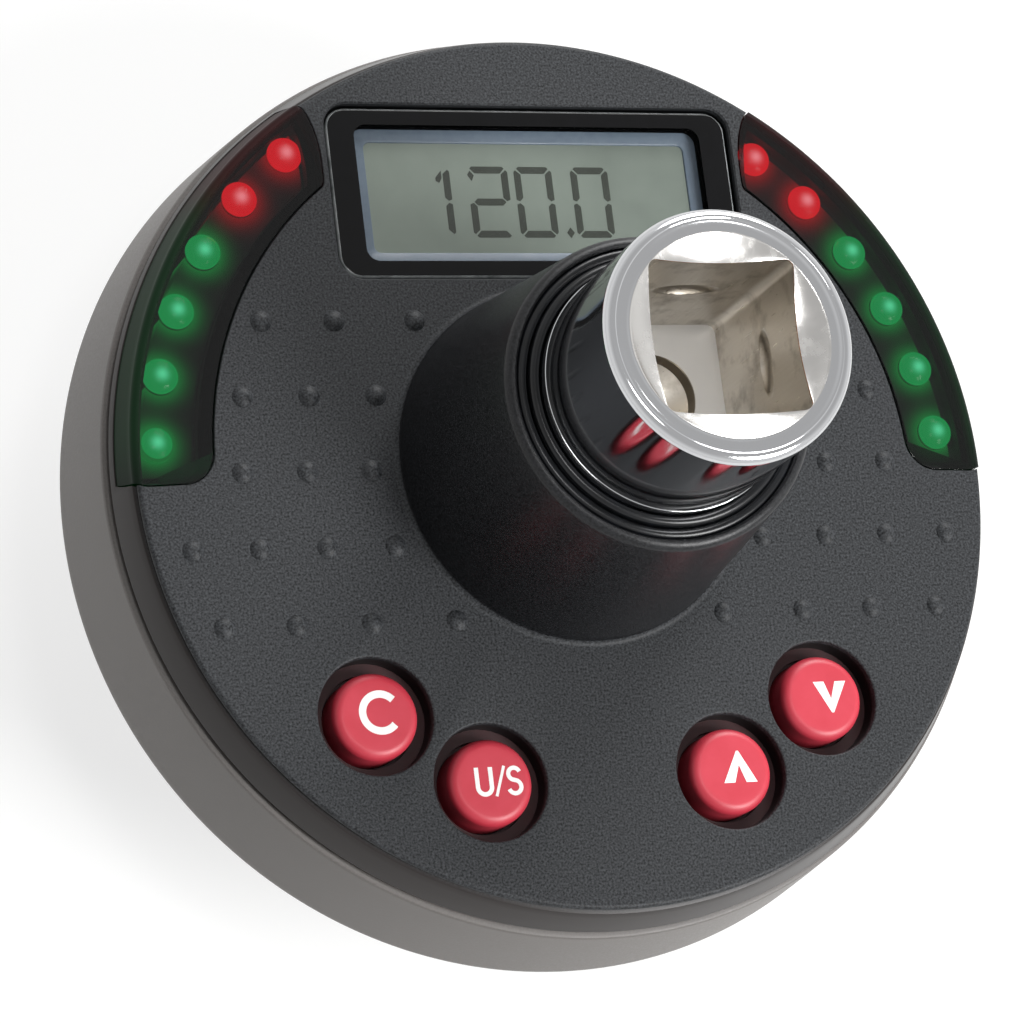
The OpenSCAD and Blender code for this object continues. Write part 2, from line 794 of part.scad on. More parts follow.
module front_cover() {
    color([0.21, 0.22, 0.23])
        difference() {
            union() {
                front_turning();
                dots();
                at_screws()
                    translate([0, 0, boss_z])
                        cylinder(h = plate_z + eps - boss_z, d = boss_d);
                at_pillars()
                    translate([0, 0, board_top_z])
                        cylinder(h = plate_z + eps - board_top_z, d = pillar_d);
            }
            translate([0, lens_y, lens_low_z])
                linear_extrude(plate_t)
                    round_rect(lens_w + 2 * lens_gap, lens_l + 2 * lens_gap, lens_corner_r + lens_gap);
            translate([0, lens_y, plate_z - over])
                linear_extrude(plate_t)
                    round_rect(sight_w, sight_l, sight_corner_r);
            window_seat();
            mirror([1, 0, 0])
                window_seat();
            at_keys()
                translate([0, 0, plate_z - over])
                    cylinder(h = plate_t + 2 * over, d = well_d);
            at_screws()
                translate([0, 0, boss_z - over])
                    cylinder(h = screw_tip_z + hole_spare + over - boss_z, d = screw_d + 2 * screw_gap);
            at_pillars()
                translate([0, 0, board_top_z - over])
                    cylinder(h = over + board_screw_grip + hole_spare, d = board_screw_d + 2 * screw_gap);
        }
}

// Outline of the rear cover: wall, foot and floor
module rear_turning() {
    rotate_extrude()
        polygon(concat(
            [[rear_in_r, seam_low_z], [rear_top_r - seam_bevel, seam_low_z]],
            [[rear_top_r, seam_low_z - seam_bevel]],
            arc([rear_low_r - rear_edge_r, under_z + rear_edge_r], rear_edge_r, 0, -90),
            [[guide_r, under_z], [guide_r, floor_z], [rear_in_r, floor_z]]
        ));
}

// Ring sectors at the cap's three lugs, turned away from the locked place
module lug_plan(r_in, r_out, span, turn) {
    for (k = [0 : 2])
        intersection() {
            ring(r_in, r_out);
            wedge(120 * k + 30 - turn - span / 2, 120 * k + 30 - turn + span / 2);
        }
}

module rear_cover() {
    bay_top_z = board_low_z - bay_gap;
    room_top_z = floor_z + lug_t + lug_play;
    color([0.33, 0.33, 0.33])
        difference() {
            union() {
                rear_turning();
                at_screws()
                    translate([0, 0, floor_z - eps])
                        cylinder(h = boss_z - floor_z + eps, d = boss_d + rear_boss_extra);
                for (side = [-1, 1])
                    translate([0, side * (flat_y + shaft_gap + rib_t / 2), floor_z - eps])
                        linear_extrude(flange_h - shaft_gap)
                            square([flat_y, rib_t], center = true);
                translate([0, bay_y, floor_z - eps])
                    cylinder(h = bay_top_z - floor_z, r = bay_out_r);
            }
            translate([0, 0, under_z - over])
                cylinder(h = over + seal_seat, r = seal_seat_r);
            at_screws() {
                translate([0, 0, under_z - over])
                    cylinder(h = over + screw_sink + screw_head_t, d = screw_head_d + 2 * hole_gap);
                translate([0, 0, under_z])
                    cylinder(h = boss_split + over, d = screw_d + 2 * hole_gap);
            }
            translate([0, bay_y, 0]) {
                translate([0, 0, under_z - over])
                    cylinder(h = lip_low_z - under_z + over, r = cap_seat_r);
                translate([0, 0, under_z - over])
                    cylinder(h = board_low_z - under_z + over, r = opening_r);
                translate([0, 0, floor_z])
                    cylinder(h = room_top_z - floor_z, r = lug_room_r);
                translate([0, 0, lip_low_z - eps])
                    linear_extrude(floor_z - lip_low_z + 2 * eps)
                        lug_plan(neck_r, lug_room_r, lug_angle + lug_extra_angle, cap_turn);
                translate([-bay_out_r - over, -contact_w / 2 - cell_gap, room_top_z - eps])
                    cube([bay_out_r, contact_w + 2 * cell_gap, far]);
            }
        }
}

module housing_gasket() {
    color([0.08, 0.08, 0.08])
        translate([0, 0, seam_low_z])
            linear_extrude(seam_gap)
                ring(rear_in_r, gasket_r);
}

// Ring seal round the shaft
module shaft_seal(z) {
    section_r = seal_w / 2 - seal_squeeze;
    translate([0, 0, z])
        rotate_extrude()
            translate([body_r + seal_w / 2, 0])
                circle(section_r, $fn = 48);
}

module collar_seal() {
    color([0.05, 0.05, 0.06])
        shaft_seal(collar_z - seal_sink);
}

module neck_seal() {
    color([0.05, 0.05, 0.06])
        shaft_seal(under_z + seal_w);
}

module display_lens() {
    color([0.15, 0.16, 0.17, 0.5])
        translate([0, lens_y, lens_low_z])
            linear_extrude(lens_t)
                round_rect(lens_w, lens_l, lens_corner_r);
}

module lcd_frame() {
    color([0.42, 0.46, 0.54])
        translate([0, lens_y, 0])
            difference() {
                translate([0, 0, board_top_z])
                    linear_extrude(plate_z - board_top_z)
                        square([glass_w + 2 * frame_wall, glass_l + 2 * frame_wall], center = true);
                translate([0, 0, board_top_z - over])
                    linear_extrude(glass_top_z - board_top_z + over)
                        square([glass_w + 2 * glass_gap, glass_l + 2 * glass_gap], center = true);
                translate([0, 0, board_top_z])
                    linear_extrude(face_z - board_top_z)
                        round_rect(field_w, field_l, field_corner_r);
            }
}

module lcd_panel() {
    color([0.55, 0.58, 0.5])
        translate([0, lens_y, glass_low_z])
            linear_extrude(glass_t)
                square([glass_w, glass_l], center = true);
}

module lcd_connectors() {
    color([0.85, 0.6, 0.62])
        for (side = [-1, 1])
            translate([0, lens_y + side * (glass_l / 2 - connector_w), board_top_z])
                linear_extrude(glass_low_z - board_top_z)
                    square([field_w, connector_w], center = true);
}

// Smoked arc over the right-hand lamps, wrapped over the rim
module lamp_window() {
    low_z = face_z - window_t;
    skirt_z = face_z - window_skirt;
    intersection() {
        rotate_extrude()
            polygon(concat(
                [
                    [window_in_r / 2, low_z], [skirt_in_r + window_gap, low_z],
                    [skirt_in_r + window_gap, skirt_z], [band_r_at(window_skirt), skirt_z]
                ],
                arc([face_r - edge_r, face_z - edge_r], edge_r, 0, 90),
                [[window_in_r / 2, face_z]]
            ));
        translate([0, 0, skirt_z - 1])
            linear_extrude(window_skirt + 2)
                window_plan(window_gap, window_out_r - window_gap, window_gap);
    }
}

module lamp_window_right() {
    color([0.12, 0.13, 0.14, 0.7])
        lamp_window();
}

module lamp_window_left() {
    color([0.12, 0.13, 0.14, 0.7])
        mirror([1, 0, 0])
            lamp_window();
}

// One domed lamp, standing on the board
module lamp() {
    dome_z = face_z - lamp_sink - lamp_d / 2;
    translate([0, 0, board_top_z])
        cylinder(h = dome_z - board_top_z, d = lamp_d);
    translate([0, 0, board_top_z])
        cylinder(h = lamp_foot_h, d = lamp_d + 2 * lamp_foot);
    translate([0, 0, dome_z])
        sphere(d = lamp_d);
}

// Lamps number first to last on both sides
module lamps(first, last) {
    for (side = [0, 1])
        mirror([side, 0, 0])
            for (i = [first : last])
                on_circle(lamp_pitch_r, lamp_a0 + i * lamp_step)
                    lamp();
}

module green_lamps() {
    color([0.0, 0.62, 0.3])
        lamps(0, green_count - 1);
}

module red_lamps() {
    color([0.85, 0.05, 0.08])
        lamps(green_count, green_count + red_count - 1);
}

module main_board() {
    color([0.05, 0.3, 0.17])
        translate([0, 0, board_low_z])
            linear_extrude(board_t)
                difference() {
                    ring(board_hole_r, board_r);
                    at_screws()
                        circle(d = boss_d + 2 * boss_gap);
                    at_pillars()
                        circle(d = board_screw_d + 2 * hole_gap);
                }
}

// Key with a rounded top and the ledge that holds it under the mat
module key(side, from_middle) {
    r = key_d / 2;
    key_top_z = face_z + key_rise;
    on_circle(key_pitch_r, key_a(side, from_middle))
        rotate_extrude()
            polygon(concat(
                [[0, ledge_low_z], [r + key_ledge, ledge_low_z], [r + key_ledge, ledge_top_z], [r, ledge_top_z]],
                arc([r - key_edge_r, key_top_z - key_edge_r], key_edge_r, 0, 90),
                [[0, key_top_z]]
            ));
}

// Carbon pill on the underside of a key
module pill(side, from_middle) {
    on_circle(key_pitch_r, key_a(side, from_middle))
        translate([0, 0, pill_low_z])
            cylinder(h = ledge_low_z - pill_low_z, d = pill_d);
}

module button_clear() {
    color(key_red)
        key(-1, key_outer_a);
}

module button_unit_set() {
    color(key_red)
        key(-1, key_inner_a);
}

module button_up() {
    color(key_red)
        key(1, key_inner_a);
}

module button_down() {
    color(key_red)
        key(1, key_outer_a);
}

module contact_pill_clear() {
    color(pill_black)
        pill(-1, key_outer_a);
}

module contact_pill_unit_set() {
    color(pill_black)
        pill(-1, key_inner_a);
}

module contact_pill_up() {
    color(pill_black)
        pill(1, key_inner_a);
}

module contact_pill_down() {
    color(pill_black)
        pill(1, key_outer_a);
}

module keypad_mat() {
    half_w = well_d / 2 + mat_margin;
    half_a = key_outer_a + asin(half_w / key_pitch_r);
    color([0.5, 0.1, 0.13])
        translate([0, 0, mat_low_z])
            linear_extrude(mat_t)
                difference() {
                    intersection() {
                        ring(key_pitch_r - half_w, key_pitch_r + half_w);
                        wedge(270 - half_a, 270 + half_a);
                    }
                    at_keys()
                        circle(d = key_d + 2 * key_gap);
                    at_screws()
                        circle(d = boss_d + 2 * boss_gap);
                }
}

module contact_pads() {
    color([0.83, 0.69, 0.3])
        at_keys()
            translate([0, 0, board_top_z])
                cylinder(h = pad_t, d = pad_d);
}

// Chip under the board with its middle at a place
module under_board(x, y, w, t) {
    translate([x - w / 2, y - w / 2, board_low_z - t])
        cube([w, w, t]);
}

module angle_sensor() {
    color([0.12, 0.12, 0.13])
        under_board(sensor_x, 0, sensor_w, sensor_t);
}

module controller_chip() {
    color([0.12, 0.12, 0.13])
        under_board(chip_x, -chip_y, chip_w, chip_t);
}

module buzzer() {
    color([0.1, 0.1, 0.1])
        translate([-chip_x, -chip_y, board_low_z - buzzer_h])
            difference() {
                cylinder(h = buzzer_h, d = buzzer_d);
                translate([0, 0, -over])
                    cylinder(h = over + buzzer_hole_depth, d = buzzer_hole_d);
            }
}

module coin_cell() {
    color([0.72, 0.73, 0.74])
        translate([0, bay_y, cell_low_z])
            cylinder(h = cell_t, d = cell_d);
}

// Side clip from the board down to the rim of the cell
module cell_contact_positive() {
    leg_x = -cell_d / 2 - contact_gap - contact_t;
    color([0.85, 0.82, 0.7])
        translate([leg_x, bay_y - contact_w / 2, 0]) {
            translate([0, 0, cell_low_z + cell_t / 4])
                cube([contact_t, contact_w, board_low_z - cell_low_z - cell_t / 4]);
            translate([-contact_w, 0, board_low_z - contact_t])
                cube([contact_w + contact_t, contact_w, contact_t]);
        }
}

// Folded spring strip from the board to the top of the cell
module cell_contact_negative() {
    strip_l = 2 * contact_w;
    color([0.85, 0.82, 0.7])
        translate([0, bay_y - contact_w / 2, 0]) {
            translate([0, 0, board_low_z - contact_t])
                cube([strip_l, contact_w, contact_t]);
            translate([0, 0, cell_top_z])
                cube([contact_t, contact_w, board_low_z - cell_top_z]);
            translate([0, 0, cell_top_z])
                cube([strip_l, contact_w, contact_t]);
        }
}

// Bayonet cap: flange, neck, three lugs and the boss that presses the cell
module battery_cap() {
    boss_top_z = cell_low_z - cap_play;
    color([0.3, 0.3, 0.3])
        translate([0, bay_y, 0])
            difference() {
                union() {
                    translate([0, 0, under_z])
                        cylinder(h = cap_t, r = cap_r);
                    translate([0, 0, under_z])
                        cylinder(h = lug_top_z - under_z, r = neck_r);
                    translate([0, 0, lug_low_z])
                        linear_extrude(lug_t)
                            lug_plan(neck_r - over, lug_r, lug_angle, 0);
                    translate([0, 0, under_z])
                        cylinder(h = boss_top_z - under_z, r = neck_r - press_step);
                }
                translate([0, 0, under_z])
                    cube([slot_l, slot_w, 2 * slot_depth], center = true);
            }
}

module battery_cap_seal() {
    color([0.05, 0.05, 0.06])
        translate([0, bay_y, under_z + cap_t])
            linear_extrude(cap_seal_t)
                ring(neck_r + seal_squeeze, cap_r - cap_gap);
}

// Screw with a round head and a cross recess, head down
module screw(shank_d, shank_l, head_d, head_t) {
    recess = head_d * 0.55;
    difference() {
        union() {
            cylinder(h = head_t, d = head_d);
            cylinder(h = head_t + shank_l, d = shank_d);
        }
        for (a = [0, 90])
            rotate([0, 0, a])
                cube([recess, head_d * 0.16, head_t], center = true);
    }
}

module housing_screws() {
    color([0.6, 0.61, 0.62])
        at_screws()
            translate([0, 0, under_z + screw_sink])
                screw(screw_d, screw_len, screw_head_d, screw_head_t);
}

module board_screws() {
    color([0.6, 0.61, 0.62])
        at_pillars()
            translate([0, 0, board_low_z - board_screw_head_t])
                screw(board_screw_d, board_t + board_screw_grip, board_screw_head_d, board_screw_head_t);
}

drive_shaft();
detent_ball();
detent_spring();
front_cover();
collar();
rear_cover();
housing_gasket();
collar_seal();
neck_seal();
display_lens();
lcd_frame();
lcd_panel();
lcd_connectors();
lamp_window_left();
lamp_window_right();
green_lamps();
red_lamps();
main_board();
button_clear();
button_unit_set();
button_up();
button_down();
contact_pill_clear();
contact_pill_unit_set();
contact_pill_up();
contact_pill_down();
keypad_mat();
contact_pads();
angle_sensor();
controller_chip();
buzzer();
coin_cell();
cell_contact_positive();
cell_contact_negative();
battery_cap();
battery_cap_seal();
housing_screws();
board_screws();
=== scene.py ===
"""Looks of an electronic torque angle gauge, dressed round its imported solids.

Sizes are in millimetres in the part's own frame: the origin is the end of the male square, +Z runs up the
drive axis and +Y from the keys towards the display. Every mesh is made at its final place, so that each
object sits at the origin.
"""

import logging
import math
from collections.abc import Callable, Sequence
from dataclasses import dataclass, field
from enum import Enum

import bmesh
import bpy
import numpy as np
from mathutils import Matrix, Vector


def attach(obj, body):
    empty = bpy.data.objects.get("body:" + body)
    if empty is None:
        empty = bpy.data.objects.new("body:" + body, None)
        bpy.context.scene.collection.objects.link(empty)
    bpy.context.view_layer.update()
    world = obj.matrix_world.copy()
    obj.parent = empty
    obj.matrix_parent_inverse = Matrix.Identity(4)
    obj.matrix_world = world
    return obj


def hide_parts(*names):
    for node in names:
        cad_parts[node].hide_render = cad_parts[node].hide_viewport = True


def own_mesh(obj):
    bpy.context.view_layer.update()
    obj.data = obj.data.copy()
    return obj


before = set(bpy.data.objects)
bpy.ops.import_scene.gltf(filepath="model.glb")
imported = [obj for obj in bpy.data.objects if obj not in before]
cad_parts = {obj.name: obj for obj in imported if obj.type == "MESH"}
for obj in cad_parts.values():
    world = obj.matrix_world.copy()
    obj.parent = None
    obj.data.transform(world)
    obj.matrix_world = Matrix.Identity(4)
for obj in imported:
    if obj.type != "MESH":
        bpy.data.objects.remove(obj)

LOG = logging.getLogger("gauge")
MM = 0.001
FACE_Z = 35.0
UNDER_Z = 18.0
COLLAR_Z = 56.2
TOP_Z = 71.3
BOARD_TOP_Z = 28.0
TURN_STEPS = 256
AXIS_R = 0.02
HOUSING = "housing"

Point = tuple[float, float]
Outline = list[Point]
Faces = list[tuple[int, ...]]
Shape = tuple[list, Faces]
Tree = bpy.types.NodeTree
Socket = bpy.types.NodeSocket
Object = bpy.types.Object


class Side(Enum):
    """Side of the gauge, seen with the display upright."""

    LEFT = -1
    RIGHT = 1


class KeyMark(Enum):
    """Legend of a key, with the name that its nodes and body carry."""

    CLEAR = "clear"
    UNIT_SET = "unit_set"
    UP = "up"
    DOWN = "down"


# Colours and nodes


def linear(code: str) -> tuple[float, float, float, float]:
    """Turns an sRGB hex colour into the linear one that Blender takes.

    Args:
        code: Six hex digits.

    Returns:
        Red, green, blue and an alpha of one.
    """
    parts = [int(code[i:i + 2], 16) / 255 for i in (0, 2, 4)]
    red, green, blue = (c / 12.92 if c <= 0.04045 else ((c + 0.055) / 1.055) ** 2.4 for c in parts)
    return red, green, blue, 1.0


def add(tree: Tree, kind: str, inputs: dict | Sequence = (), **settings: object) -> bpy.types.Node:
    """Adds a node with its settings, values and links.

    Args:
        tree: Tree that takes the node.
        kind: The node's type name.
        inputs: Socket name or number to a value or to the socket that feeds it, or a plain list of these
            in the order of the sockets.
        settings: The node's own properties.

    Returns:
        The new node.
    """
    made = tree.nodes.new(kind)
    for name, value in settings.items():
        setattr(made, name, value)
    for key, value in inputs.items() if isinstance(inputs, dict) else enumerate(inputs):
        if isinstance(value, Socket):
            tree.links.new(value, made.inputs[key])
        else:
            made.inputs[key].default_value = value
    return made


# Finishes


@dataclass(frozen=True)
class Finish:
    """A finish: one Principled shader and the pattern that its maker's process leaves."""

    name: str
    colour: str
    rough: float
    metallic: float = 0.0
    shine: float = 0.5

    def build(self) -> bpy.types.Material:
        """Makes the material.

        Returns:
            The material, with its pattern wired in.
        """
        material = bpy.data.materials.new(self.name)
        material.use_nodes = True
        tree = material.node_tree
        tree.nodes.clear()
        sockets = {"Base Color": linear(self.colour), "Roughness": self.rough, "Metallic": self.metallic,
                   "Specular IOR Level": self.shine, **self.pattern(tree)}
        if "Relief" in sockets:
            height, depth, strength = sockets.pop("Relief")
            bump = add(tree, "ShaderNodeBump", {"Height": height, "Distance": depth * MM, "Strength": strength})
            sockets["Normal"] = bump.outputs[0]
        shader = add(tree, "ShaderNodeBsdfPrincipled", sockets)
        add(tree, "ShaderNodeOutputMaterial", {"Surface": shader.outputs["BSDF"]})
        return material

    def pattern(self, tree: Tree) -> dict[str, object]:
        """Adds what this finish has beyond a plain shader.

        Args:
            tree: Tree that takes the nodes.

        Returns:
            Shader socket to its value or feed, and under Relief a height from 0 to 1 with the depth in
            millimetres and the strength at which it shows.
        """
        return {}

    @staticmethod
    def grain(tree: Tree, size: float, stretch: Sequence[float] = (1, 1, 1), detail: float = 2.0) -> Socket:
        """Adds an even noise on the piece's own coordinates.

        Args:
            tree: Tree that takes the nodes.
            size: Width of a grain in millimetres.
            stretch: How much longer the grain is along each axis.
            detail: Octaves of finer grain.

        Returns:
            The noise value.
        """
        place = add(tree, "ShaderNodeTexCoord").outputs["Object"]
        scale = [1 / (size * MM * s) for s in stretch]
        scaled = add(tree, "ShaderNodeMapping", {"Vector": place, "Scale": scale})
        return add(tree, "ShaderNodeTexNoise", {
            "Vector": scaled.outputs[0], "Scale": 1.0, "Detail": detail, "Roughness": 0.55}).outputs["Fac"]

    @staticmethod
    def tones(tree: Tree, value: Socket, ends: Point, low: str, high: str, most: float = 1.0) -> Socket:
        """Lets a value turn one colour into another.

        Args:
            tree: Tree that takes the nodes.
            value: The value.
            ends: Where the first colour ends and where the second is full.
            low: First colour.
            high: Second colour.
            most: Largest share of the second colour.

        Returns:
            The mixed colour.
        """
        share = add(tree, "ShaderNodeMapRange", (value, *ends, 0.0, most)).outputs[0]
        mixed = add(tree, "ShaderNodeMix", {0: share, 6: linear(low), 7: linear(high)}, data_type="RGBA")
        return mixed.outputs[2]


@dataclass(frozen=True)
class MouldedPlastic(Finish):
    """Injection-moulded plastic from a spark-eroded mould: an even grain that breaks up its shine."""

    light: str = "404246"
    grain_mm: float = 0.3
    depth_mm: float = 0.03
    relief: float = 0.8
    side: str = "2e2a29"
    side_r: Point = (38.5, 39.0)
    side_rough: float = 0.3
    side_relief: float = 0.04
    smooth_below: float | None = None
    blur_mm: float = 0.12

    def pattern(self, tree: Tree) -> dict[str, object]:
        """Adds the spark grain, and the smooth side below the edge of the face where there is one.

        Args:
            tree: Tree that takes the nodes.

        Returns:
            Colour, roughness and relief.
        """
        grain = self.grain(tree, self.grain_mm, detail=3.0)
        # On the spark-textured face and the collar, the paler flecks are painted sheen of the grain.
        tone = self.tones(tree, grain, (0.32, 0.78), self.colour, self.light)
        dull = (self.rough - 0.08, self.rough + 0.08)
        rough = add(tree, "ShaderNodeMapRange", (grain, 0.3, 0.7, *dull)).outputs[0]
        relief: float | Socket = self.relief
        if self.smooth_below is not None:
            place = add(tree, "ShaderNodeTexCoord").outputs["Object"]
            height = add(tree, "ShaderNodeSeparateXYZ", [place]).outputs["Z"]
            flat = add(tree, "ShaderNodeVectorMath", (place, (1, 1, 0)), operation="MULTIPLY").outputs[0]
            away = add(tree, "ShaderNodeVectorMath", [flat], operation="LENGTH").outputs["Value"]
            low, high = (self.smooth_below - self.blur_mm) * MM, (self.smooth_below + self.blur_mm) * MM
            face = add(tree, "ShaderNodeMapRange", (height, low, high)).outputs[0]
            relief = add(tree, "ShaderNodeMapRange", (face, 0.0, 1.0, self.side_relief, self.relief)).outputs[0]
            rough = add(tree, "ShaderNodeMix", {0: face, 2: self.side_rough, 3: rough}).outputs[0]
            ends = (self.side_r[0] * MM, self.side_r[1] * MM)
            smooth = self.tones(tree, away, ends, self.colour, self.side)
            tone = add(tree, "ShaderNodeMix", {0: face, 6: smooth, 7: tone}, data_type="RGBA").outputs[2]
        return {"Base Color": tone, "Roughness": rough, "Relief": (grain, self.depth_mm, relief)}


@dataclass(frozen=True)
class PlatedMetal(Finish):
    """Polished plating: a mirror that bends a little, with faint wiping marks that dull it."""

    metallic: float = 1.0
    smear_mm: float = 5.0
    smear: float = 0.05
    wave_mm: float = 7.0

    def pattern(self, tree: Tree) -> dict[str, object]:
        """Adds the soft waves of the polish and the wiping marks.

        Args:
            tree: Tree that takes the nodes.

        Returns:
            Roughness and relief.
        """
        marks = self.grain(tree, self.smear_mm, (1, 1, 3), detail=4.0)
        rough = add(tree, "ShaderNodeMapRange", (marks, 0.45, 0.75, self.rough, self.rough + self.smear))
        wave = self.grain(tree, self.wave_mm, detail=1.0)
        return {"Roughness": rough.outputs[0], "Relief": (wave, 0.004, 0.25)}


@dataclass(frozen=True)
class WorkedSteel(Finish):
    """Bare steel as the broach, brush or drawing die left it: fine streaks and some brown stain."""

    metallic: float = 1.0
    stain: str = "6b5d4c"
    stain_mm: float = 2.4
    streak: Sequence[float] = (1, 1, 12)
    streak_mm: float = 0.25

    def pattern(self, tree: Tree) -> dict[str, object]:
        """Adds the streaks of the tool and the stain.

        Args:
            tree: Tree that takes the nodes.

        Returns:
            Colour, roughness and relief.
        """
        streaks = self.grain(tree, self.streak_mm, self.streak, detail=3.0)
        stain = self.grain(tree, self.stain_mm, detail=5.0)
        rough = add(tree, "ShaderNodeMapRange", (streaks, 0.3, 0.7, self.rough - 0.06, self.rough + 0.1))
        return {"Base Color": self.tones(tree, stain, (0.5, 0.72), self.colour, self.stain, 0.75),
                "Roughness": rough.outputs[0], "Relief": (streaks, 0.012, 0.5)}


@dataclass(frozen=True)
class MouldedRubber(Finish):
    """Moulded rubber: soft, even and a little cloudy, with a skin that shines only at a slant."""

    light: str = "2a2a2c"
    cloud_mm: float = 1.6
    skin_mm: float = 0.12

    def pattern(self, tree: Tree) -> dict[str, object]:
        """Adds the cloudy colour and the fine skin.

        Args:
            tree: Tree that takes the nodes.

        Returns:
            Colour and relief.
        """
        cloud = self.grain(tree, self.cloud_mm, detail=3.0)
        return {"Base Color": self.tones(tree, cloud, (0.35, 0.7), self.colour, self.light),
                "Relief": (self.grain(tree, self.skin_mm), 0.008, 0.35)}


@dataclass(frozen=True)
class ClearWindow(Finish):
    """Cast acrylic: a clear plate with a polished face and a few hairline scratches."""

    clear: float = 0.05

    def pattern(self, tree: Tree) -> dict[str, object]:
        """Adds the scratches and sets how much of the plate shows.

        Args:
            tree: Tree that takes the nodes.

        Returns:
            Alpha, IOR and relief.
        """
        return {"Alpha": self.clear, "IOR": 1.49, "Relief": (self.grain(tree, 0.2, (14, 1, 1)), 0.003, 0.2)}


@dataclass(frozen=True)
class LampBed(Finish):
    """Black spacer that the lamps stand in, with a glow painted round each of them."""

    glow: float = 4.5

    def pattern(self, tree: Tree) -> dict[str, object]:
        """Adds the glow of the lamps, painted into the spacer as light that it gives off."""
        return self.light(tree, self.glow)

    @staticmethod
    def light(tree: Tree, glow: float) -> dict[str, object]:
        """Lets a shader give off the painted glow of the lamps that its mesh keeps as colours.

        Args:
            tree: Tree that takes the node.
            glow: Strength of the painted glow.

        Returns:
            Colour and strength of the painted glow.
        """
        lit = add(tree, "ShaderNodeAttribute", attribute_name="lamp_light")
        return {"Emission Color": lit.outputs["Color"], "Emission Strength": glow}


@dataclass(frozen=True)
class SmokedWindow(ClearWindow):
    """Smoked acrylic over lamps: dark and glossy, with a faint glow of their light painted on its edge."""

    clear: float = 0.6

    def pattern(self, tree: Tree) -> dict[str, object]:
        """Adds a painted glow of the lamps to the pattern of a clear one."""
        return {**super().pattern(tree), **LampBed.light(tree, 1.0)}


@dataclass(frozen=True)
class LitLamp(Finish):
    """Diffused epoxy lamp, lit from within, with a pale painted highlight on top of its dome and deeper colour
    at its edge as painted dome shading.
    """

    core: str = "ffffff"
    power: float = 4.5
    focus: float = 14.0
    lit_z: Point = (32.4, 32.6)
    dome_z: Point = (32.65, 33.4)

    def pattern(self, tree: Tree) -> dict[str, object]:
        """Adds the light, with a pale painted highlight on top of the dome and painted shading towards its
        edge, ending below the dome.

        Args:
            tree: Tree that takes the nodes.

        Returns:
            Colour and strength of the light, and the clear coat.
        """
        place = add(tree, "ShaderNodeTexCoord").outputs["Object"]
        height = add(tree, "ShaderNodeSeparateXYZ", [place]).outputs["Z"]
        low, high, base, apex = (z * MM for z in (*self.lit_z, *self.dome_z))
        # Pale painted highlight on top of the dome, deeper colour at its edge as painted dome shading.
        top = add(tree, "ShaderNodeMapRange", (height, base, apex)).outputs[0]
        middle = add(tree, "ShaderNodeMath", (top, self.focus), operation="POWER").outputs[0]
        power = add(tree, "ShaderNodeMapRange", (height, low, high, 0.0, self.power))
        return {"Emission Color": self.tones(tree, middle, (0.0, 1.0), self.colour, self.core),
                "Emission Strength": power.outputs[0], "Coat Weight": 1.0, "Coat Roughness": 0.04}


@dataclass(frozen=True)
class CrystalGlass(Finish):
    """Reflective liquid crystal: a grey-green sheet, cloudy, with painted shade that makes it darker towards
    its right end.
    """

    # Colour of the painted shade at the sheet's right end.
    dark: str = "717a72"
    shade_x: Point = (-18.0, 8.0)

    def pattern(self, tree: Tree) -> dict[str, object]:
        """Adds painted shade across the sheet, darker towards its right end, and its paper-like reflector.

        Args:
            tree: Tree that takes the nodes.

        Returns:
            Colour and relief.
        """
        place = add(tree, "ShaderNodeTexCoord").outputs["Object"]
        across = add(tree, "ShaderNodeSeparateXYZ", [place]).outputs["X"]
        # Painted shade: the sheet turns darker towards its right end.
        first, last = (x * MM for x in self.shade_x)
        tone = add(tree, "ShaderNodeMapRange", (across, first, last, 0.1, 0.9)).outputs[0]
        grain = self.grain(tree, 3.0, detail=3.0)
        cloud = add(tree, "ShaderNodeMapRange", (grain, 0.3, 0.7, -0.1, 0.1)).outputs[0]
        share = add(tree, "ShaderNodeMath", (tone, cloud), operation="ADD", use_clamp=True).outputs[0]
        return {"Base Color": self.tones(tree, share, (0.0, 1.0), self.colour, self.dark),
                "Relief": (self.grain(tree, 0.1, detail=1.0), 0.004, 0.3)}


@dataclass(frozen=True)
class Laminate(Finish):
    """Green solder mask over copper tracks, which show as paler lines 2 mm apart."""

    track: str = "1f7a48"
    pitch_mm: float = 2.0

    def pattern(self, tree: Tree) -> dict[str, object]:
        """Adds the lines of track.

        Args:
            tree: Tree that takes the nodes.

        Returns:
            Colour and relief.
        """
        place = add(tree, "ShaderNodeTexCoord").outputs["Object"]
        scaled = add(tree, "ShaderNodeMapping", {"Vector": place, "Scale": [1 / (self.pitch_mm * MM)] * 3})
        lines = add(tree, "ShaderNodeTexBrick", {
            "Vector": scaled.outputs[0], "Scale": 1.0, "Color1": (0, 0, 0, 1), "Color2": (0, 0, 0, 1),
            "Mortar": (1, 1, 1, 1), "Mortar Size": 0.1, "Brick Width": 3.0, "Row Height": 1.0}).outputs["Color"]
        return {"Base Color": self.tones(tree, lines, (0.0, 1.0), self.colour, self.track),
                "Relief": (lines, 0.03, 0.5)}


# Spark-textured ABS: black, with the light that its grain catches painted in as paler flecks, which make it
# look dark grey.
FRONT_ABS = MouldedPlastic("spark_textured_abs", "101112", 0.5, shine=0.2, light="4a4c4f", grain_mm=0.2,
                           depth_mm=0.02, smooth_below=34.32)
# The tall collar drew out of a polished core, which closes its shine to a narrow sheen; its colour is painted
# blacker than the face's as shade, with fainter painted flecks.
SHADED_COLLAR_ABS = MouldedPlastic("fine_black_abs", "070708", 0.36, shine=0.3, light="2a2b2e", grain_mm=0.2,
                            depth_mm=0.02)
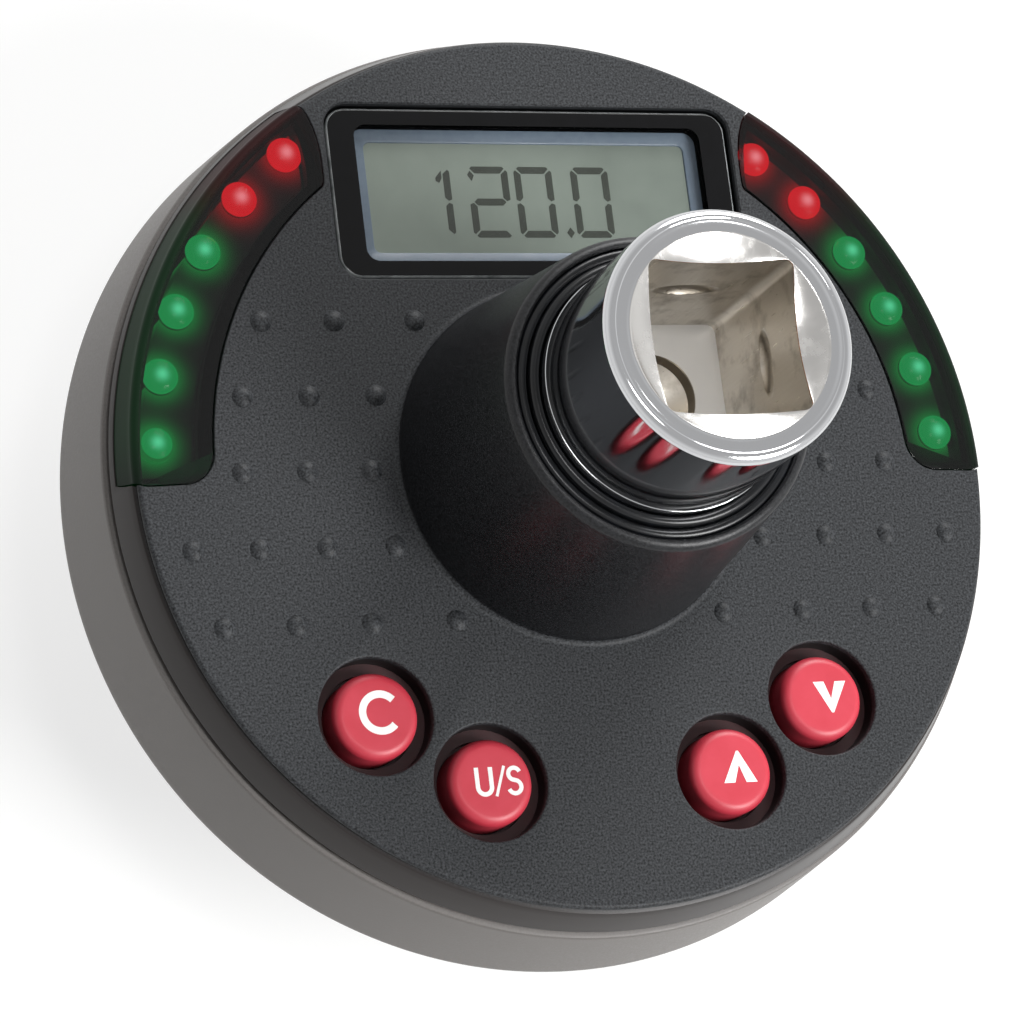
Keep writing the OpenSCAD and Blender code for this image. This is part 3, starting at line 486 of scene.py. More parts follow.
# Fine matt ABS: the rear shell's smoother mould gives a soft sheen, and its colour is painted pale grey as the
# light that the wall catches at a slant and from the floor.
LIGHTENED_REAR_ABS = MouldedPlastic("fine_matt_abs", "5e5a57", 0.46, light="6c6764", grain_mm=0.22, depth_mm=0.012)
# Chrome plate: a mirror that shows the face, the keys and the room.
CHROME = PlatedMetal("chrome_plate", "c8c9cb", 0.07)
# The dished mouth was machined before plating, so its chrome is satin and spreads the light.
SATIN = PlatedMetal("satin_chrome", "cfcdca", 0.2, smear_mm=1.2, smear=0.16)
# Copper undercoat that shows where tools have worn the edge of the square.
COPPER = WorkedSteel("worn_copper_edge", "a87a55", 0.32, stain="7a5234", streak=(1, 1, 1), streak_mm=0.4)
# Broached steel inside the square: satin, brownish, streaked along the broach.
BROACHED = WorkedSteel("broached_steel", "c6c0b6", 0.33, stain="80766a")
# The square's milled floor took the plating; its colour is painted paler than the chrome's as light, so that it
# is the brightest face inside.
BRIGHTENED_FLOOR = PlatedMetal("plated_milled_floor", "f6f5f3", 0.5, smear_mm=1.0, smear=0.1)
# Polished bearing steel: the detent ball.
BEARING = PlatedMetal("bearing_steel", "c9cacc", 0.06, smear_mm=1.5)
# Drawn spring wire: grey, dull, streaked along its length.
SPRING = WorkedSteel("drawn_spring_wire", "8c8c90", 0.35, stain="5a5854", streak=(6, 1, 1), streak_mm=0.15)
# Zinc-plated screws: pale and slightly bluish, dull in the recess.
ZINC = WorkedSteel("zinc_plated_steel", "a9acb0", 0.34, stain="7c7f82", streak=(1, 1, 1), streak_mm=0.2)
# Stamped cell can: bright steel brushed one way.
CELL = WorkedSteel("brushed_cell_can", "b9babc", 0.28, stain="9a9a98", streak=(14, 1, 1), streak_mm=0.2)
# Nickel-plated strip: warm silver with a drawn grain.
NICKEL = WorkedSteel("nickel_plated_strip", "c2b9a2", 0.3, stain="958b74", streak=(10, 1, 1), streak_mm=0.2)
# Gold flash on copper pads: yellow and soft.
GOLD = WorkedSteel("gold_flashed_copper", "d8b15c", 0.3, stain="b58d3d", streak=(1, 1, 1), streak_mm=0.3)
# Nitrile seal: wet-looking black ring.
SEAL = MouldedRubber("nitrile_rubber", "08090b", 0.26, shine=0.35, light="101216")
# Red silicone keys: even and softly shining.
KEY_RED = MouldedRubber("red_silicone", "bd3342", 0.42, light="c43c4b", cloud_mm=3.0)
# The keypad's mat is the same silicone, painted deep red as the shade at the bottom of the wells; the keys'
# ledges take it too.
SHADED_RED = MouldedRubber("dark_red_silicone", "2a0509", 0.6, light="33070c")
# Carbon-loaded silicone pills: dull black.
CARBON = MouldedRubber("carbon_silicone", "161617", 0.6)
# Layered connector rubber: pink with dark conducting layers.
CONNECTOR = MouldedRubber("layered_connector_rubber", "c98f92", 0.5, light="d7a5a6", cloud_mm=0.3)
# Clear acrylic lens: polished, so that only its gloss shows.
CLEAR = ClearWindow("clear_acrylic", "101212", 0.03)
# The lens's border is screen-printed in gloss black.
BORDER = MouldedRubber("gloss_black_print", "050506", 0.09, shine=0.25, light="08080a", skin_mm=2.5)
# The lens's bevelled edge is painted pale as a highlight line.
EDGE_HIGHLIGHT = MouldedRubber("polished_acrylic_edge", "a4a8a8", 0.2, light="6f7373", cloud_mm=1.2)
# Smoked acrylic arcs: black and glossy, with the lamps seen through them and a faint glow painted on the rim.
SMOKED = SmokedWindow("smoked_acrylic", "060707", 0.06)
# The arcs' side was sanded to fit the rim, so that it is dull and lets nothing through; the lamps' glow is
# painted on it.
SANDED = SmokedWindow("sanded_acrylic_side", "0a0b0b", 0.5, shine=0.1, clear=1.0)
# Black styrene spacer round the lamps: matt, with their light painted on it as a glow round each.
SPACER = LampBed("black_lamp_spacer", "0a0a0b", 0.5)
# Blue-grey styrene frame of the display: smooth from a polished mould.
FRAME = MouldedPlastic("blue_grey_styrene", "5f6d7c", 0.4, light="687784", grain_mm=0.5, depth_mm=0.006)
# Liquid crystal over a reflector: grey-green, like paper under glass.
CRYSTAL = CrystalGlass("liquid_crystal_glass", "8e988e", 0.22)
# Switched segments of the crystal: dark and flat.
SEGMENT = MouldedRubber("dark_crystal_segment", "22281f", 0.4, light="2a3028")
# Lamps of diffused epoxy: coloured and lit, with a pale core that is partly their own light and partly a
# painted highlight.
GREEN = LitLamp("green_diffused_epoxy", "069048", 0.25, core="58e0a2")
RED = LitLamp("red_diffused_epoxy", "dc0a1c", 0.25, core="ff8c94")
# White screen ink of the legends: even and dull.
INK = MouldedRubber("white_screen_ink", "f4f3f1", 0.5, light="ecebe8", cloud_mm=0.8)
# Glass-fibre laminate under green solder mask: glossy, with tracks in relief.
BOARD = Laminate("solder_masked_laminate", "0b4a27", 0.35)
# Moulded chip resin: black, finely sanded.
RESIN = MouldedPlastic("moulded_chip_resin", "151516", 0.55, light="222224", grain_mm=0.15, depth_mm=0.01)


class Shop:
    """Makes each finish once and keeps it."""

    _made: dict[str, bpy.types.Material] = {}

    @classmethod
    def get(cls, finish: Finish) -> bpy.types.Material:
        """Gives the material of a finish, made on first use.

        Args:
            finish: The finish.

        Returns:
            Its material.
        """
        if finish.name not in cls._made:
            cls._made[finish.name] = finish.build()
        return cls._made[finish.name]


# Meshes


def polar(r: float, angle: float, middle: Point = (0, 0)) -> Point:
    """Point at a radius and a direction in degrees round a middle."""
    return middle[0] + r * math.cos(math.radians(angle)), middle[1] + r * math.sin(math.radians(angle))


def arc(centre: Point, radius: float, start: float, end: float, steps: int = 8) -> Outline:
    """Points of an arc.

    Args:
        centre: Middle of the arc.
        radius: Its radius.
        start: First direction in degrees.
        end: Last direction in degrees.
        steps: Number of chords.

    Returns:
        The points, both ends included.
    """
    return [polar(radius, start + (end - start) * i / steps, centre) for i in range(steps + 1)]


def round_rect(width: float, length: float, radius: float, middle: Point = (0, 0), steps: int = 10) -> Outline:
    """Outline of a rectangle with round corners, anticlockwise.

    Args:
        width: Size along X.
        length: Size along Y.
        radius: Corner radius.
        middle: Its middle.
        steps: Chords of a corner.

    Returns:
        The outline's points.
    """
    x, y = width / 2 - radius, length / 2 - radius
    corners = ((x, y, 0), (-x, y, 90), (-x, -y, 180), (x, -y, 270))
    return [p for cx, cy, a in corners
            for p in arc((middle[0] + cx, middle[1] + cy), radius, a, a + 90, steps)]


def stack(rings: Sequence[Sequence[Sequence[float]]], closed: bool = False) -> Shape:
    """Joins rings of equal length by quads and closes both ends.

    Args:
        rings: Rings of points, in order.
        closed: Whether the last ring joins the first, so that there are no ends.

    Returns:
        Points and faces.
    """
    count = len(rings[0])
    points = [tuple(p) for ring in rings for p in ring]
    faces: Faces = []
    spans = len(rings) if closed else len(rings) - 1
    for i in range(spans):
        low, high = i * count, (i + 1) % len(rings) * count
        faces += [(low + k, low + (k + 1) % count, high + (k + 1) % count, high + k) for k in range(count)]
    if not closed:
        faces.append(tuple(reversed(range(count))))
        faces.append(tuple(range(len(points) - count, len(points))))
    return points, faces


def turned(profile: Sequence[Point], closed: bool, middle: Point = (0, 0), steps: int = TURN_STEPS) -> Shape:
    """Turns a profile of radius and height round an upright axis.

    Args:
        profile: Radius and height of each point.
        closed: Whether the profile is a loop.
        middle: Place of the axis.
        steps: Number of chords round the axis.

    Returns:
        Points and faces.
    """
    return stack([[(*polar(r, 360 * k / steps, middle), z) for k in range(steps)] for r, z in profile], closed)


def prism(outlines: Sequence[tuple[float, Sequence[Point]]]) -> Shape:
    """Upright prism through outlines at several heights, upwards."""
    return stack([[(x, y, z) for x, y in outline] for z, outline in outlines])


def new_object(name: str, points: Sequence[Sequence[float]], faces: Faces) -> Object:
    """Makes a mesh object at the origin.

    Args:
        name: Name of the object.
        points: Vertices in millimetres.
        faces: Vertex numbers of each face.

    Returns:
        The object, linked to the scene.
    """
    mesh = bpy.data.meshes.new(name)
    mesh.from_pydata([tuple(c * MM for c in p) for p in points], [], faces)
    made = bpy.data.objects.new(name, mesh)
    bpy.context.scene.collection.objects.link(made)
    return made


def outward(made: Object) -> Object:
    """Merges doubles and points every face of a closed mesh outwards.

    Args:
        made: The object.

    Returns:
        The same object.
    """
    work = bmesh.new()
    work.from_mesh(made.data)
    bmesh.ops.remove_doubles(work, verts=work.verts, dist=1e-7)
    bmesh.ops.recalc_face_normals(work, faces=work.faces)
    work.to_mesh(made.data)
    work.free()
    return made


def solid(name: str, shape: Shape) -> Object:
    """Makes a closed mesh object whose faces point outwards."""
    return outward(new_object(name, *shape))


def baked(made: Object) -> Object:
    """Turns an object's modifiers into plain mesh.

    Args:
        made: The object.

    Returns:
        The same object, with no modifier left.
    """
    ready = made.evaluated_get(bpy.context.evaluated_depsgraph_get())
    mesh = bpy.data.meshes.new_from_object(ready)
    made.modifiers.clear()
    made.data = mesh
    return made


def cut(made: Object, cutters: Sequence[Shape]) -> Object:
    """Cuts solids out of an object, one after the other.

    Args:
        made: Object that is cut.
        cutters: Points and faces of each cutting solid.

    Returns:
        The object.
    """
    for shape in cutters:
        knife = solid("knife", shape)
        step = made.modifiers.new("cut", "BOOLEAN")
        step.operation, step.solver, step.object = "DIFFERENCE", "EXACT", knife
        baked(made)
        bpy.data.objects.remove(knife)
    return made


def joined(made: Object, extras: Sequence[Shape]) -> Object:
    """Adds closed shells to an object's mesh.

    Args:
        made: Object that takes them.
        extras: Points and faces of each shell.

    Returns:
        The object.
    """
    work = bmesh.new()
    work.from_mesh(made.data)
    for shape in extras:
        piece = solid("extra", shape)
        work.from_mesh(piece.data)
        bpy.data.objects.remove(piece)
    work.to_mesh(made.data)
    work.free()
    return made


def merged(node: str, angle: float = 30) -> Object:
    """Copies a solid's mesh with its corners merged, for smooth shading.

    Args:
        node: Name of the node.
        angle: Angle in degrees past which an edge is sharp.

    Returns:
        The copy.
    """
    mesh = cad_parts[node].data.copy()
    made = bpy.data.objects.new(node + "_fine", mesh)
    bpy.context.scene.collection.objects.link(made)
    work = bmesh.new()
    work.from_mesh(mesh)
    bmesh.ops.remove_doubles(work, verts=work.verts, dist=2e-6)
    work.to_mesh(mesh)
    work.free()
    return shaded(made, angle)


def shaded(made: Object, angle: float = 32) -> Object:
    """Shades an object smoothly, with sharp edges where faces meet at more than an angle.

    Args:
        made: The object.
        angle: That angle in degrees.

    Returns:
        The object.
    """
    made.data.shade_smooth()
    made.data.set_sharp_from_angle(angle=math.radians(angle))
    return made


def paint(made: Object, finishes: Sequence[Finish], pick: Callable[[bpy.types.MeshPolygon], int]) -> Object:
    """Gives each face of a piece one of several finishes.

    Args:
        made: The piece.
        finishes: The finishes.
        pick: Number of the finish that a face takes.

    Returns:
        The piece.
    """
    made.data.materials.clear()
    for finish in finishes:
        made.data.materials.append(Shop.get(finish))
    for face in made.data.polygons:
        face.material_index = pick(face)
    return made


def dress(made: Object, finish: Finish | None, body: str = HOUSING,
          nodes: Sequence[str] = ()) -> Object:
    """Gives a finished piece its material and body, and hides the nodes it stands for.

    Args:
        made: The piece.
        finish: Its finish, or None where its faces already have theirs.
        body: Body that it rides on.
        nodes: Nodes that it replaces.

    Returns:
        The piece.
    """
    if finish is not None:
        made.data.materials.clear()
        made.data.materials.append(Shop.get(finish))
    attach(made, body)
    if nodes:
        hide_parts(*nodes)
    LOG.info("%s rides on %s", made.name, body)
    return made


class Repeat:
    """Geometry Nodes tree that sets one shape on many points."""

    _tree: Tree | None = None

    @classmethod
    def tree(cls) -> Tree:
        """Makes the tree on first use.

        Returns:
            The tree, with named inputs for shape, size, turn, seed and finish.
        """
        if cls._tree is not None:
            return cls._tree
        tree = bpy.data.node_groups.new("set_on_points", "GeometryNodeTree")
        for name, kind in (("Points", "Geometry"), ("Shape", "Object"), ("Size", "Float"), ("Turn", "Float"),
                           ("Seed", "Int"), ("Finish", "Material")):
            tree.interface.new_socket(name, in_out="INPUT", socket_type="NodeSocket" + kind)
        tree.interface.new_socket("Mesh", in_out="OUTPUT", socket_type="NodeSocketGeometry")
        given = add(tree, "NodeGroupInput").outputs
        shape = add(tree, "GeometryNodeObjectInfo", {"Object": given["Shape"]})
        most = add(tree, "ShaderNodeCombineXYZ", {"Z": given["Turn"]})
        turn = add(tree, "FunctionNodeRandomValue", {
            "Min": (0, 0, 0), "Max": most.outputs[0], "Seed": given["Seed"]}, data_type="FLOAT_VECTOR")
        size = add(tree, "ShaderNodeCombineXYZ", [given["Size"]] * 3)
        placed = add(tree, "GeometryNodeInstanceOnPoints", {
            "Points": given["Points"], "Instance": shape.outputs["Geometry"],
            "Rotation": turn.outputs["Value"], "Scale": size.outputs[0]})
        real = add(tree, "GeometryNodeRealizeInstances", {"Geometry": placed.outputs[0]})
        coated = add(tree, "GeometryNodeSetMaterial", {
            "Geometry": real.outputs[0], "Material": given["Finish"]})
        add(tree, "NodeGroupOutput", {"Mesh": coated.outputs[0]})
        cls._tree = tree
        return tree

    @classmethod
    def make(cls, name: str, shape: Object, places: Sequence[Sequence[float]], finish: Finish,
             turn: float = 0.0, seed: int = 3) -> Object:
        """Sets a shape on every place and makes the result one plain mesh.

        Args:
            name: Name of the piece.
            shape: The shape, made round the origin; it is removed afterwards.
            places: Places in millimetres.
            finish: Finish of the piece.
            turn: Largest random turn about the upright, in degrees.
            seed: Seed of that turn.

        Returns:
            The piece.
        """
        made = new_object(name, places, [])
        tree = cls.tree()
        step = made.modifiers.new("repeat", "NODES")
        step.node_group = tree
        values = {"Shape": shape, "Size": 1.0, "Turn": math.radians(turn), "Seed": seed,
                  "Finish": Shop.get(finish)}
        for item in tree.interface.items_tree:
            if item.in_out == "INPUT" and item.name in values:
                step[item.identifier] = values[item.name]
        made.update_tag()
        baked(made)
        bpy.data.objects.remove(shape)
        return shaded(made)


# The drive


@dataclass
class DriveShaft:
    """Through shaft: male square below, chromed cylinder with a female square above."""

    drive: float = 12.66
    drive_len: float = 16.0
    drive_corner: float = 0.3
    drive_corner_r: float = 8.4
    bevel: float = 0.9
    socket: float = 12.9
    socket_depth: float = 17.0
    socket_corner_r: float = 0.8
    mouth_r: float = 8.8
    mouth_depth: float = 1.1
    mouth_z: float = TOP_Z - 0.065
    groove_r: float = 1.4
    groove_mid_r: float = 5.7
    groove_down: float = 7.8
    pilot_r: float = 3.75
    pilot_depth: float = 1.5
    shaft_r: float = 10.9
    body_r: float = 11.9
    lip_r: float = 0.8
    lip_crown: float = 0.05
    root_step: float = 0.05
    root_up: float = 1.4
    ball_r: float = 2.38
    ball_up: float = 7.5
    ball_out: float = 0.9
    ball_gap: float = 0.06
    ball_hole: float = 7.8
    seal_r: float = 0.48
    columns: int = 288

    def square(self, half: float, corner: float, angle: float) -> float:
        """Distance from the axis to a square with round corners.

        Args:
            half: Half the width across its flats.
            corner: Corner radius.
            angle: Direction in radians.

        Returns:
            The distance in that direction.
        """
        a = abs((angle + math.pi / 4) % (math.pi / 2) - math.pi / 4)
        flat = half - corner
        if half * math.tan(a) <= flat:
            return half / math.cos(a)
        along = flat * (math.cos(a) + math.sin(a))
        return along + math.sqrt(max(along * along - 2 * flat * flat + corner * corner, 0))

    def outside(self) -> Outline:
        """Outline of the turned part, from the shoulder above the male square to the mouth.

        Returns:
            Radius and height of each point.
        """
        bead = (self.body_r - self.shaft_r - self.root_step) / 2
        bead_z = COLLAR_Z - 0.1
        root_r, root_z = self.shaft_r + self.root_step, bead_z + self.root_up
        lip_r, lip_z = self.shaft_r - self.lip_r, TOP_Z - self.lip_r
        line_z, crown_z = TOP_Z - 0.09, TOP_Z - 0.01
        crown = [(self.mouth_r + 0.1 + (lip_r - 0.5 - self.mouth_r) * s,
                  crown_z - self.lip_crown * (2 * s - 1) ** 2) for s in np.linspace(1, 0, 9)]
        return [
            (self.body_r - 1.0, self.drive_len), (self.body_r, self.drive_len + 1.0),
            (self.body_r, UNDER_Z + 6), *arc((self.body_r - bead, bead_z), bead, 0, 180, 14),
            (root_r, bead_z + 0.15), (root_r, root_z),
            *arc((root_r, root_z + self.root_step), self.root_step, 270, 180, 4),
            (self.shaft_r, root_z + 0.5), (self.shaft_r, lip_z - 0.05),
            *arc((lip_r, lip_z), self.lip_r, 0, 90, 14),
            (lip_r - 0.06, crown_z), (lip_r - 0.16, line_z), (lip_r - 0.26, line_z),
            *crown, (self.mouth_r + 0.03, self.mouth_z)]

    def shaft(self) -> None:
        """Makes the shaft ring by ring: male square, turned outside, mouth, female square and pilot hole."""
        angles = np.linspace(0, 2 * math.pi, self.columns, endpoint=False)
        half = self.drive / 2
        hole = np.array([self.square(self.socket / 2, self.socket_corner_r, a) for a in angles])
        dish = (self.mouth_r - hole) * self.mouth_depth / (self.mouth_r - self.socket / 2)
        floor, groove_z = TOP_Z - self.socket_depth, TOP_Z - self.groove_down
        rings: list[np.ndarray] = []

        def ring(radius: float | np.ndarray, height: float | np.ndarray) -> None:
            """Adds one ring, whose radius and height may follow the direction."""
            places = np.broadcast_arrays(radius * np.cos(angles), radius * np.sin(angles), height)
            rings.append(np.stack(places, axis=1))

        def male(width: float) -> np.ndarray:
            """Radius of the male square at a half width."""
            return np.minimum([self.square(width, self.drive_corner, a) for a in angles], self.drive_corner_r)

        ring(AXIS_R, 0.0)
        for share in (0.5, 0.97):
            ring(share * male(half - self.bevel), 0.0)
        for share in (0.0, 0.06, 0.94, 1.0, 1.06):
            ring(male(half - self.bevel * (1 - min(share, 1.0))), self.bevel * share)
        for height in np.linspace(self.bevel + 0.5, self.drive_len - 0.05, 12):
            ring(male(half), height)
        for radius, height in self.outside():
            ring(radius, height)
        mouth = len(rings)
        for share in np.linspace(0.0, 1.0, 13):
            ring(self.mouth_r + (hole - self.mouth_r) * share,
                 self.mouth_z - dish * share * (1.4 - 0.4 * share))
        worn = len(rings)
        for drop in (0.06, 0.2):
            ring(hole + 0.01, self.mouth_z - dish - drop)
        low, high = groove_z - self.groove_r, groove_z + self.groove_r
        for height in (*np.linspace(TOP_Z - 1.5, high, 6), *np.linspace(high, low, 52)[1:-1],
                       *np.linspace(low, floor + 0.3, 8), floor + 0.06):
            reach = max(self.groove_r ** 2 - (height - groove_z) ** 2, 0)
            ring(np.maximum(hole, self.groove_mid_r + math.sqrt(reach)), height)
        bottom = len(rings)
        for share in (0.0, 0.02, 0.5, 0.98):
            ring(hole + (self.pilot_r - hole) * share, floor)
        pilot = floor - self.pilot_depth
        for radius, height in ((self.pilot_r, floor - 0.08), (self.pilot_r, pilot),
                               (AXIS_R, pilot - self.pilot_r / 2)):
            ring(radius, height)
        made = new_object("drive_shaft_chromed", *stack(rings))
        finishes = (CHROME, SEAL, SATIN, COPPER, BROACHED, BRIGHTENED_FLOOR)
        foot = len(made.data.polygons) - 2

        def look(face: bpy.types.MeshPolygon) -> int:
            """Number of the finish of a face, by the strip of faces that it lies in.

            Args:
                face: The face.

            Returns:
                The number.
            """
            strip = face.index // self.columns
            # Below the mouth, the bead and root by the collar take the black seal finish: painted dark
            # reflection in place of the bright lines that the chrome would show.
            if strip < mouth - 1 or face.index == foot:
                return int(COLLAR_Z - 1.5 < face.center.z / MM < COLLAR_Z + 0.6)
            # The milled floor's colour is painted pale as light.
            return finishes.index(SATIN if strip < worn - 1 else COPPER if strip <= worn else
                                  BRIGHTENED_FLOOR if bottom <= strip < bottom + 3 else BROACHED)

        outward(paint(made, finishes, look))
        loop = arc((0, self.ball_up), self.ball_r + self.ball_gap, 0, 360, 96)[:-1]
        cut(made, [stack([[(x, *p) for p in loop] for x in (half - self.ball_hole, half + 1)])])
        dress(shaded(made, 34), None, nodes=["drive_shaft"])

    def build(self) -> None:
        """Makes the shaft, its ball, its spring and its two seals."""
        self.shaft()
        ball_x = self.drive / 2 + self.ball_out - self.ball_r
        outline = arc((0, self.ball_up), self.ball_r, -89.9, 89.9, 48)
        ball = solid("detent_ball_polished", turned(outline, False, (ball_x, 0), 96))
        dress(shaded(ball, 60), BEARING, "ball", ["detent_ball"])
        spring = dress(merged("detent_spring", 50), SPRING, nodes=["detent_spring"])
        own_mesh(spring)
        for name, z in (("collar_seal", COLLAR_Z - 0.6), ("neck_seal", UNDER_Z + 1.0)):
            loop = arc((self.body_r + 0.5, z), self.seal_r, 0, 360, 28)[:-1]
            seal = solid(name + "_ring", turned(loop, True))
            dress(shaded(seal, 60), SEAL, nodes=[name])


# The lamps


@dataclass
class LampArc:
    """Arc of six lamps under a smoked window that wraps over the rim."""

    side: Side
    inner_r: float = 32.9
    outer_r: float = 41.65
    start: float = -2.0
    end: float = 57.5
    corner: float = 2.8
    end_x: float = 20.1
    blunt: float = 0.8
    gap: float = 0.1
    thick: float = 1.4
    skirt: float = 3.2
    skirt_in_r: float = 39.83
    skirt_out_r: float = 40.93
    brow_r: float = 40.3
    brow: float = 0.7
    pocket_in: float = 1.1
    pocket_out_r: float = 39.1
    pocket_z: Point = (27.4, 34.5)
    bed_in: float = 1.25
    bed_out_r: float = 38.6
    bed_z: float = 32.3
    pitch_r: float = 37.45
    first: float = 4.7
    step: float = 9.56
    green: int = 4
    red: int = 2
    hole_r: float = 1.65

    def ends(self, r: float, grow: float = 0.0) -> Point:
        """First and last direction of the window at a radius.

        Args:
            r: The radius.
            grow: How far the outline lies outside the seat; below zero it lies inside.

        Returns:
            Both directions in degrees, for the right side.
        """
        low, high, c = self.inner_r - grow, self.outer_r + grow, self.corner + grow
        inset = -grow
        for past in (low + c - r, r - high + c):
            if past > 0:
                inset += c - math.sqrt(max(c * c - past ** 2, 0))
        slip = math.degrees(inset / r)
        limit = math.degrees(math.acos(min((self.end_x - grow) / r, 1)))
        both = math.exp(-self.blunt * (self.end - slip)) + math.exp(-self.blunt * limit)
        return self.start + slip, -math.log(both) / self.blunt

    def place(self, r: float, angle: float) -> Point:
        """Point at a radius and a direction, on this side."""
        x, y = polar(r, angle)
        return self.side.value * x, y

    def outline(self, low: float, high: float, grow: float = 0.0) -> Outline:
        """Outline of the window, or of its seat, between two radii.

        Args:
            low: Inner radius.
            high: Outer radius.
            grow: How far the outline lies outside the seat.

        Returns:
            The outline's points.
        """
        radii = [low + (high - low) * (0.5 - 0.5 * math.cos(math.pi * i / 24)) for i in range(25)]
        inner, outer = self.ends(low, grow), self.ends(high, grow)
        points = [self.place(low, inner[0] + (inner[1] - inner[0]) * i / 60) for i in range(60)]
        points += [self.place(r, self.ends(r, grow)[1]) for r in radii[:-1]]
        points += [self.place(high, outer[1] + (outer[0] - outer[1]) * i / 60) for i in range(60)]
        points += [self.place(r, self.ends(r, grow)[0]) for r in reversed(radii[1:])]
        return points

    def seats(self) -> list[Shape]:
        """Solids that cut the seat and the lamps' pocket out of the front cover.

        Returns:
            Points and faces of each.
        """
        low, high, lead = self.inner_r, self.outer_r, 0.07
        plain, wide = self.outline(low, high), self.outline(low - lead, high + lead, lead)
        rim = self.outline(self.skirt_in_r, high)
        pocket = self.outline(low + self.pocket_in, self.pocket_out_r, -self.pocket_in)
        seat = [(FACE_Z - self.thick, plain), (FACE_Z - lead, plain), (FACE_Z, wide), (FACE_Z + 1, wide)]
        return [prism(seat), prism([(FACE_Z - self.skirt, rim), (FACE_Z + 1, rim)]),
                prism([(z, pocket) for z in self.pocket_z])]

    def window(self) -> None:
        """Makes the smoked window and paints a faint glow of the lamps into its colours."""
        low_z, skirt_z = FACE_Z - self.thick, FACE_Z - self.skirt
        inner, back = self.inner_r + self.gap, self.skirt_in_r + self.gap
        lead, columns = 0.1, 120
        wrap = [(self.brow_r + (self.skirt_out_r - self.brow_r) * s,
                 FACE_Z - self.brow - 0.05 - (self.skirt - self.brow - 0.13) * s) for s in np.linspace(1, 0, 6)]
        section = [(self.skirt_out_r - 0.08, skirt_z), *wrap,
                   *arc((self.brow_r - self.brow, FACE_Z - self.brow), self.brow, 0, 88, 8),
                   *((r, FACE_Z) for r in np.linspace(39.55, inner + lead, 24)),
                   (inner, FACE_Z - lead), (inner, low_z), (36.0, low_z), (back, low_z), (back, skirt_z)]
        spans = [(r, z, *self.ends(r, -self.gap)) for r, z in section]
        rings = []
        for i in range(columns + 1):
            share = 0.35 * (0.5 - 0.5 * math.cos(math.pi * i / columns)) + 0.65 * i / columns
            rings.append([(*self.place(r, first + (last - first) * share), z) for r, z, first, last in spans])
        name = f"lamp_window_{self.side.name.lower()}"
        made = solid(name + "_smoked", stack(rings))
        edge = made.modifiers.new("edge", "BEVEL")
        edge.width, edge.segments, edge.limit_method = 0.07 * MM, 2, "ANGLE"
        edge.angle_limit = math.radians(55)
        baked(made)
        # Painted glow of the lamps on the window's rim and side.
        self.lit(made, 4.0, lambda r: 0.05 if r > self.skirt_in_r - 0.4 else 0.0)
        paint(made, (SMOKED, SANDED),
              lambda face: int(math.hypot(face.center.x, face.center.y) / MM > self.skirt_in_r - 0.15))
        dress(shaded(made, 34), None, nodes=[name])
        self.bed()

    def lamps(self) -> Outline:
        """Places of the lamps, from the lowest."""
        return [self.place(self.pitch_r, self.first + n * self.step) for n in range(self.green + self.red)]

    def lit(self, made: Object, reach: float, share: Callable[[float], float]) -> None:
        """Paints the light that would fall on a piece from each lamp into the colours of its mesh, as a glow.

        Args:
            made: The piece.
            reach: Distance in millimetres over which the light fades.
            share: Share of the light that a place shows, by its radius.
        """
        light = made.data.color_attributes.new("lamp_light", "FLOAT_COLOR", "POINT")
        tones = [linear("00a848" if n < self.green else "c80010") for n in range(self.green + self.red)]
        for number, vertex in enumerate(made.data.vertices):
            x, y = vertex.co.x / MM, vertex.co.y / MM
            fall = [share(math.hypot(x, y)) * math.exp(-(math.hypot(x - lx, y - ly) / reach) ** 2)
                    for lx, ly in self.lamps()]
            light.data[number].color = (*(sum(f * t[i] for f, t in zip(fall, tones)) for i in range(3)), 1.0)

    def bed(self) -> None:
        """Makes the black spacer on the board that the lamps stand in, with a glow of the lamps painted on it.
        """
        low, high, columns, lanes = self.inner_r + self.bed_in, self.bed_out_r, 220, 24
        section = [(low, BOARD_TOP_Z), *((r, self.bed_z) for r in np.linspace(low, high, lanes)),
                   (high, BOARD_TOP_Z)]
        spans = [(r, z, *self.ends(r, -self.bed_in)) for r, z in section]
        rings = [[(*self.place(r, first + (last - first) * i / columns), z) for r, z, first, last in spans]
                 for i in range(columns + 1)]
        made = solid(f"lamp_spacer_{self.side.name.lower()}", stack(rings))
        hole = [(self.hole_r, BOARD_TOP_Z - 1), (self.hole_r, self.bed_z + 0.7)]
        cut(made, [turned(hole, False, p, 48) for p in self.lamps()])
        # Painted glow round each lamp on the spacer.
        self.lit(made, 1.75, lambda r: 1.0)
        dress(shaded(made, 34), SPACER)


@dataclass
class Lamps:
    """The twelve diffused lamps on the board."""

    arcs: Sequence[LampArc]
    radius: float = 1.6
    sink: float = 1.6
    dome: float = 0.8
    foot: float = 0.1
    foot_h: float = 1.0

    def shape(self) -> Object:
        """Makes one lamp: foot ring, barrel and dome, round the origin of its foot.

        Returns:
            The lamp.
        """
        shoulder = FACE_Z - self.sink - self.dome - BOARD_TOP_Z
        wide = self.radius + self.foot
        cap = [(r, shoulder + h * self.dome / self.radius) for r, h in arc((0, 0), self.radius, 4, 89.4, 16)]
        profile = [(AXIS_R, 0), (wide, 0), (wide, self.foot_h - 0.1), (wide - 0.05, self.foot_h),
                   (self.radius, self.foot_h + 0.02), (self.radius, shoulder), *cap]
        return solid("lamp_shape", turned(profile, False, steps=40))

    def build(self) -> None:
        """Makes the green and the red lamps."""
        split = self.arcs[0].green
        for colour, finish, chosen in (("green", GREEN, slice(split)), ("red", RED, slice(split, None))):
            places = [(*p, BOARD_TOP_Z) for part in self.arcs for p in part.lamps()[chosen]]
            made = Repeat.make(f"{colour}_lamps_lit", self.shape(), places, finish)
            dress(made, None, nodes=[f"{colour}_lamps"])


# The display


